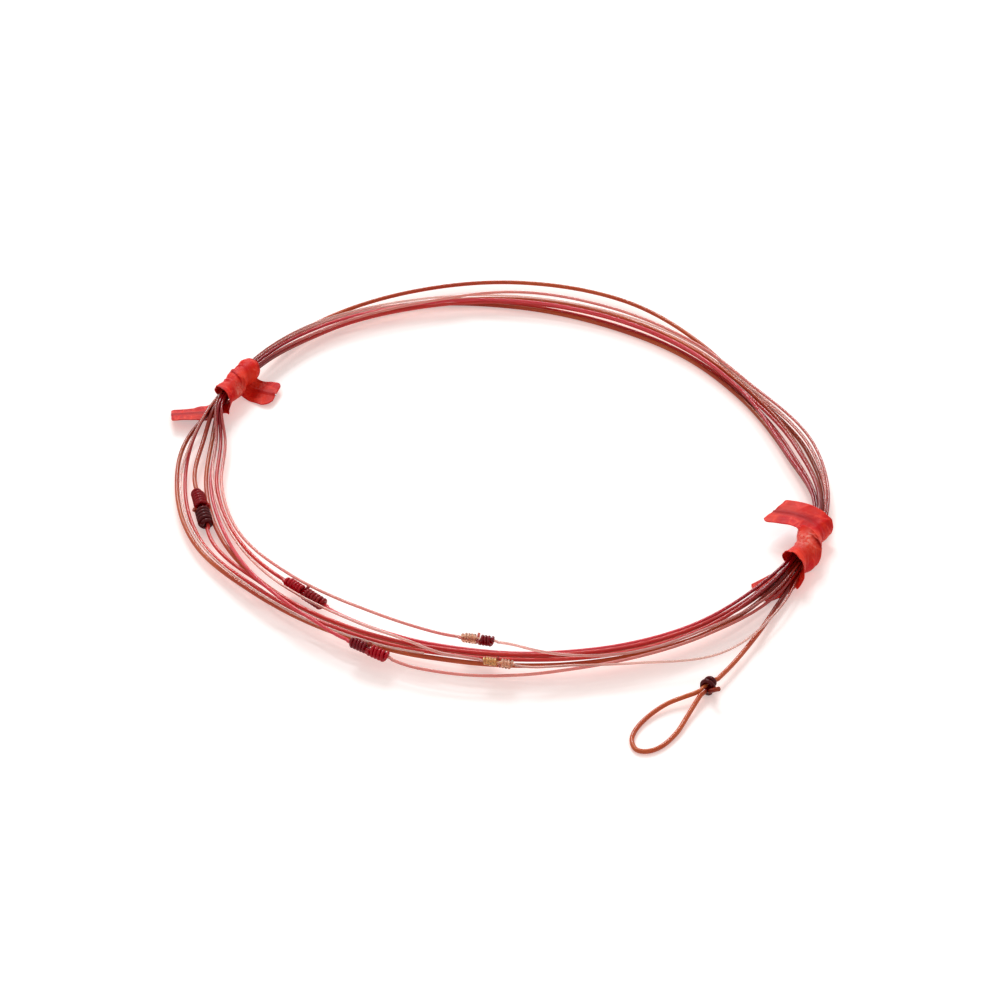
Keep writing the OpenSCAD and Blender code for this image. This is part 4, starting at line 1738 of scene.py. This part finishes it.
@dataclass
class Studio:
    """Floor, lights, sky and camera.

    Attributes:
        distance: From the camera to what it looks at, in metres.
        elevation: The camera's height over the floor, in degrees.
        look_at: What the camera looks at.
        lens: Its focal length.
        film: Its width of film.
        sky: The sky's colour where it isn't looked at.
        sky_level: The sky's strength there.
        key: Strength of the key light.
        glint: Strength of the small lamp.
        key_tint: Colour of both.
        floor_glow: Light of the floor's own, where it is looked at.
        floor_half: Half the floor's width, in metres.
        pale: The floor's colour.
        blush: Its colour close to the lines, a painted pink shade.
        blush_reach: How close that is, in metres.
    """

    distance: float = 0.370
    elevation: float = 38.0
    look_at: tuple[float, float, float] = (0.00109, -0.00082, 0.0)
    lens: float = 100.0
    film: float = 36.0
    sky: Rgb = (1.0, 0.76, 0.69)
    sky_level: float = 0.6
    key: float = 1.9
    glint: float = 0.22
    key_tint: Rgb = (0.88, 0.97, 1.0)
    floor_glow: float = 0.40
    floor_half: float = 3.0
    pale: Rgb = (0.86, 0.86, 0.86)
    blush: Rgb = srgb(252, 196, 180)
    blush_reach: float = 0.003

    def camera(self) -> None:
        """Places the camera."""
        data = bpy.data.cameras.new("camera")
        data.lens, data.sensor_width, data.sensor_fit = self.lens, self.film, "HORIZONTAL"
        data.clip_start, data.clip_end = 0.01, 20.0
        seat = linked("camera", data)
        e = math.radians(self.elevation)
        back = Vector((0, -math.cos(e), math.sin(e)))
        seat.location = Vector(self.look_at) + self.distance * back
        seat.rotation_euler = (math.radians(90 - self.elevation), 0, 0)
        bpy.context.scene.camera = seat

    def floor(self) -> None:
        """A wide white floor that keeps the object's shadow and reads as white.

        Close to the lines it takes a painted pink shade, standing in for the shadow and red light
        that they pass on to it.
        """
        paint = Paint("floor_white")
        glow = paint.node(
            "ShaderNodeEmission", Color=(1.0, 1.0, 1.0),
            Strength=paint.looked_at() * self.floor_glow)
        near = paint.node(
            "ShaderNodeAmbientOcclusion", {"samples": 8}, Distance=self.blush_reach)
        # Painted pink shade on the floor close to the lines.
        colour = paint.blend(paint.value(near, "AO").ramp(0.3, 0.95), self.blush, self.pale)
        matt = paint.node("ShaderNodeBsdfDiffuse", Color=colour)
        given = {"0": matt.outputs[0], "1": glow.outputs[0]}
        mesh = bpy.data.meshes.new("floor")
        half = self.floor_half
        corners = [(-half, -half, 0), (half, -half, 0), (half, half, 0), (-half, half, 0)]
        mesh.from_pydata(corners, [], [(0, 1, 2, 3)])
        mesh.materials.append(paint.finish(paint.node("ShaderNodeAddShader", **given)))
        linked("floor", mesh)

    def lights(self) -> None:
        """A soft key from behind, and a small lamp that gives the gloss its glints."""
        for name, energy, spread, way in (
            ("key", self.key, 24, Vector((0.10, -0.75, -0.62))),
            ("glint", self.glint, 4, Vector((0.30, -0.45, -0.80))),
        ):
            data = bpy.data.lights.new(name, "SUN")
            data.energy, data.angle, data.color = energy, math.radians(spread), self.key_tint
            lamp = linked(name, data)
            lamp.rotation_mode = "QUATERNION"
            lamp.rotation_quaternion = way.to_track_quat("-Z", "Y")

    def world(self) -> None:
        """A pale sky, white where it is looked at."""
        world = bpy.data.worlds.new("studio")
        bpy.context.scene.world = world
        world.use_nodes = True
        nodes = Nodes(world.node_tree)
        fill = nodes.node("ShaderNodeBackground", Color=self.sky, Strength=self.sky_level)
        white = nodes.node("ShaderNodeBackground", Color=(1.0, 1.0, 1.0), Strength=1.0)
        given = {"0": nodes.looked_at(), "1": fill.outputs[0], "2": white.outputs[0]}
        mix = nodes.node("ShaderNodeMixShader", **given)
        nodes.node("ShaderNodeOutputWorld", Surface=mix.outputs[0])

    def build(self) -> None:
        """Sets up the whole studio."""
        self.camera()
        self.floor()
        self.lights()
        self.world()
        bpy.context.scene.view_settings.view_transform = "Standard"


# ---------- The whole leader ----------


@dataclass
class Leader:
    """The coiled leader with its knots, loop and ties."""

    route: CoilRoute = field(default_factory=CoilRoute)

    def ties(self) -> list[TwistTie]:
        """The two ties.

        Returns:
            The left one and the right one.
        """
        return [
            TwistTie(
                "left", 3.7, (148 + 162) / 2, LEFT_BUNDLE.shift, LEFT_ROOM,
                passes=((-90, 4.0, 0), (-270, 1.0, 0.12), (-450, -0.9, 0.26),
                        (-630, -2.9, 0.44), (-810, -2.6, 0.72)),
                tail_in=((5.5, 0.85, 8.0, -30, 18), (4.1, 0.9, 7.3, -28, 20),
                         (2.7, 0.95, 6.5, -24, 18), (1.3, 0.95, 5.5, -12, 8)),
                tail_out=((-1.3, 0.5, -2.6, 0, 0), (-2.6, 0.5, -2.5, 0, -4),
                          (-3.9, 0.7, -2.4, -2, -6), (-5.3, 0.85, -2.2, -2, -6)),
                gather=((0, 0.1, 0.25, 0.4, 0.8, 0.9, 1),
                        (0.9, 1.0, 0.85, 0.88, 0.88, 0.95, 1.0)),
                loose=((0, 0.15, 0.25, 0.85, 0.92, 1), (0.5, 0.5, 1.35, 1.35, 0.8, 0.5)),
                crown=((0, 0.18, 0.26, 0.84, 0.9, 1), (0, 0, 0.14, 0.14, 0, 0)),
                cut=(0.2, -0.35), corner=(0.4, 1.3), scar=(-1.3, 2.6, 1.1, 0.8)),
            TwistTie(
                "right", 9.1, (332 + 344) / 2, RIGHT_BUNDLE.shift, RIGHT_ROOM,
                passes=((90, 1.4, 0), (0, 0.25, 0.06), (-90, -1.05, 0.12),
                        (-180, -2.3, 0.2), (-270, -3.75, 0.26), (-315, -4.6, 0.28),
                        (-360, -5.6, 0.3), (-405, -6.75, 0.32), (-450, -8.0, 0.34)),
                tail_in=((-6.0, 2.8, 2.55, 4, 2), (-4.4, 3.05, 2.6, 4, 2),
                         (-2.8, 3.25, 2.45, 2, 2), (-1.3, 3.3, 2.1, 0, 0)),
                tail_out=((-1.6, 0.72, -9.05, -46, 0), (-2.55, 0.46, -10.15, -48, 0),
                          (-3.5, 0.38, -11.3, -50, 0)),
                gather=((0, 0.14, 0.3, 0.5, 0.72, 0.85, 1),
                        (1.0, 1.0, 1.1, 1.1, 1.0, 0.9, 0.8)),
                loose=((0, 0.22, 0.35, 0.75, 0.85, 1), (0.7, 0.8, 1.25, 1.25, 0.5, 0.4)),
                crown=((0, 0.22, 0.3, 0.72, 0.8, 1), (0, 0, 0.10, 0.10, 0, 0)),
                cut=(0.8, 0.0), corner=(0.6, 0.4), scar=(-0.2, 3.1, -2.6, 1.3)),
        ]

    def build(self) -> None:
        """Builds every piece: the knots, the lines, then the ties."""
        tubes = TubeTree("line_tube")
        finishes = {line: LINE_FINISHES[line].make() for line in Line}
        knots = KnotBuilder(self.route, tubes, finishes)
        halves = {
            line: ([knots.half(line.value - 1, True)] if line is not Line.BUTT else [])
            + ([knots.half(line.value, False)] if line is not Line.TIPPET else [])
            for line in Line
        }
        butt = ButtEnd(self.route)
        halves[Line.BUTT].append(butt.knot(tubes, finishes[Line.BUTT]))
        for line in Line:
            strand = LeaderLine(line, self.route, tubes, finishes[line])
            nodes = [f"{line.word}_coil"]
            if line is Line.BUTT:
                nodes += ["butt_loop", "butt_lead"]
            path = strand.path(butt if line is Line.BUTT else None)
            strand.build(path, nodes, halves[line])
        plastic, metal = TieFinish().make(), WireFinish().make()
        for tie in self.ties():
            tie.build(plastic)
            tie.core(tubes, metal)


def report_bare_nodes() -> None:
    """Warns of any CAD node that still shows."""
    for name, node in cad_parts.items():
        if not node.hide_render:
            log.warning("node %s still shows", name)


def main() -> None:
    """Builds the studio and the leader."""
    logging.basicConfig(level=logging.INFO, format="%(name)s %(message)s")
    Studio().build()
    Leader().build()
    report_bare_nodes()


if __name__ == "__main__":
    main()
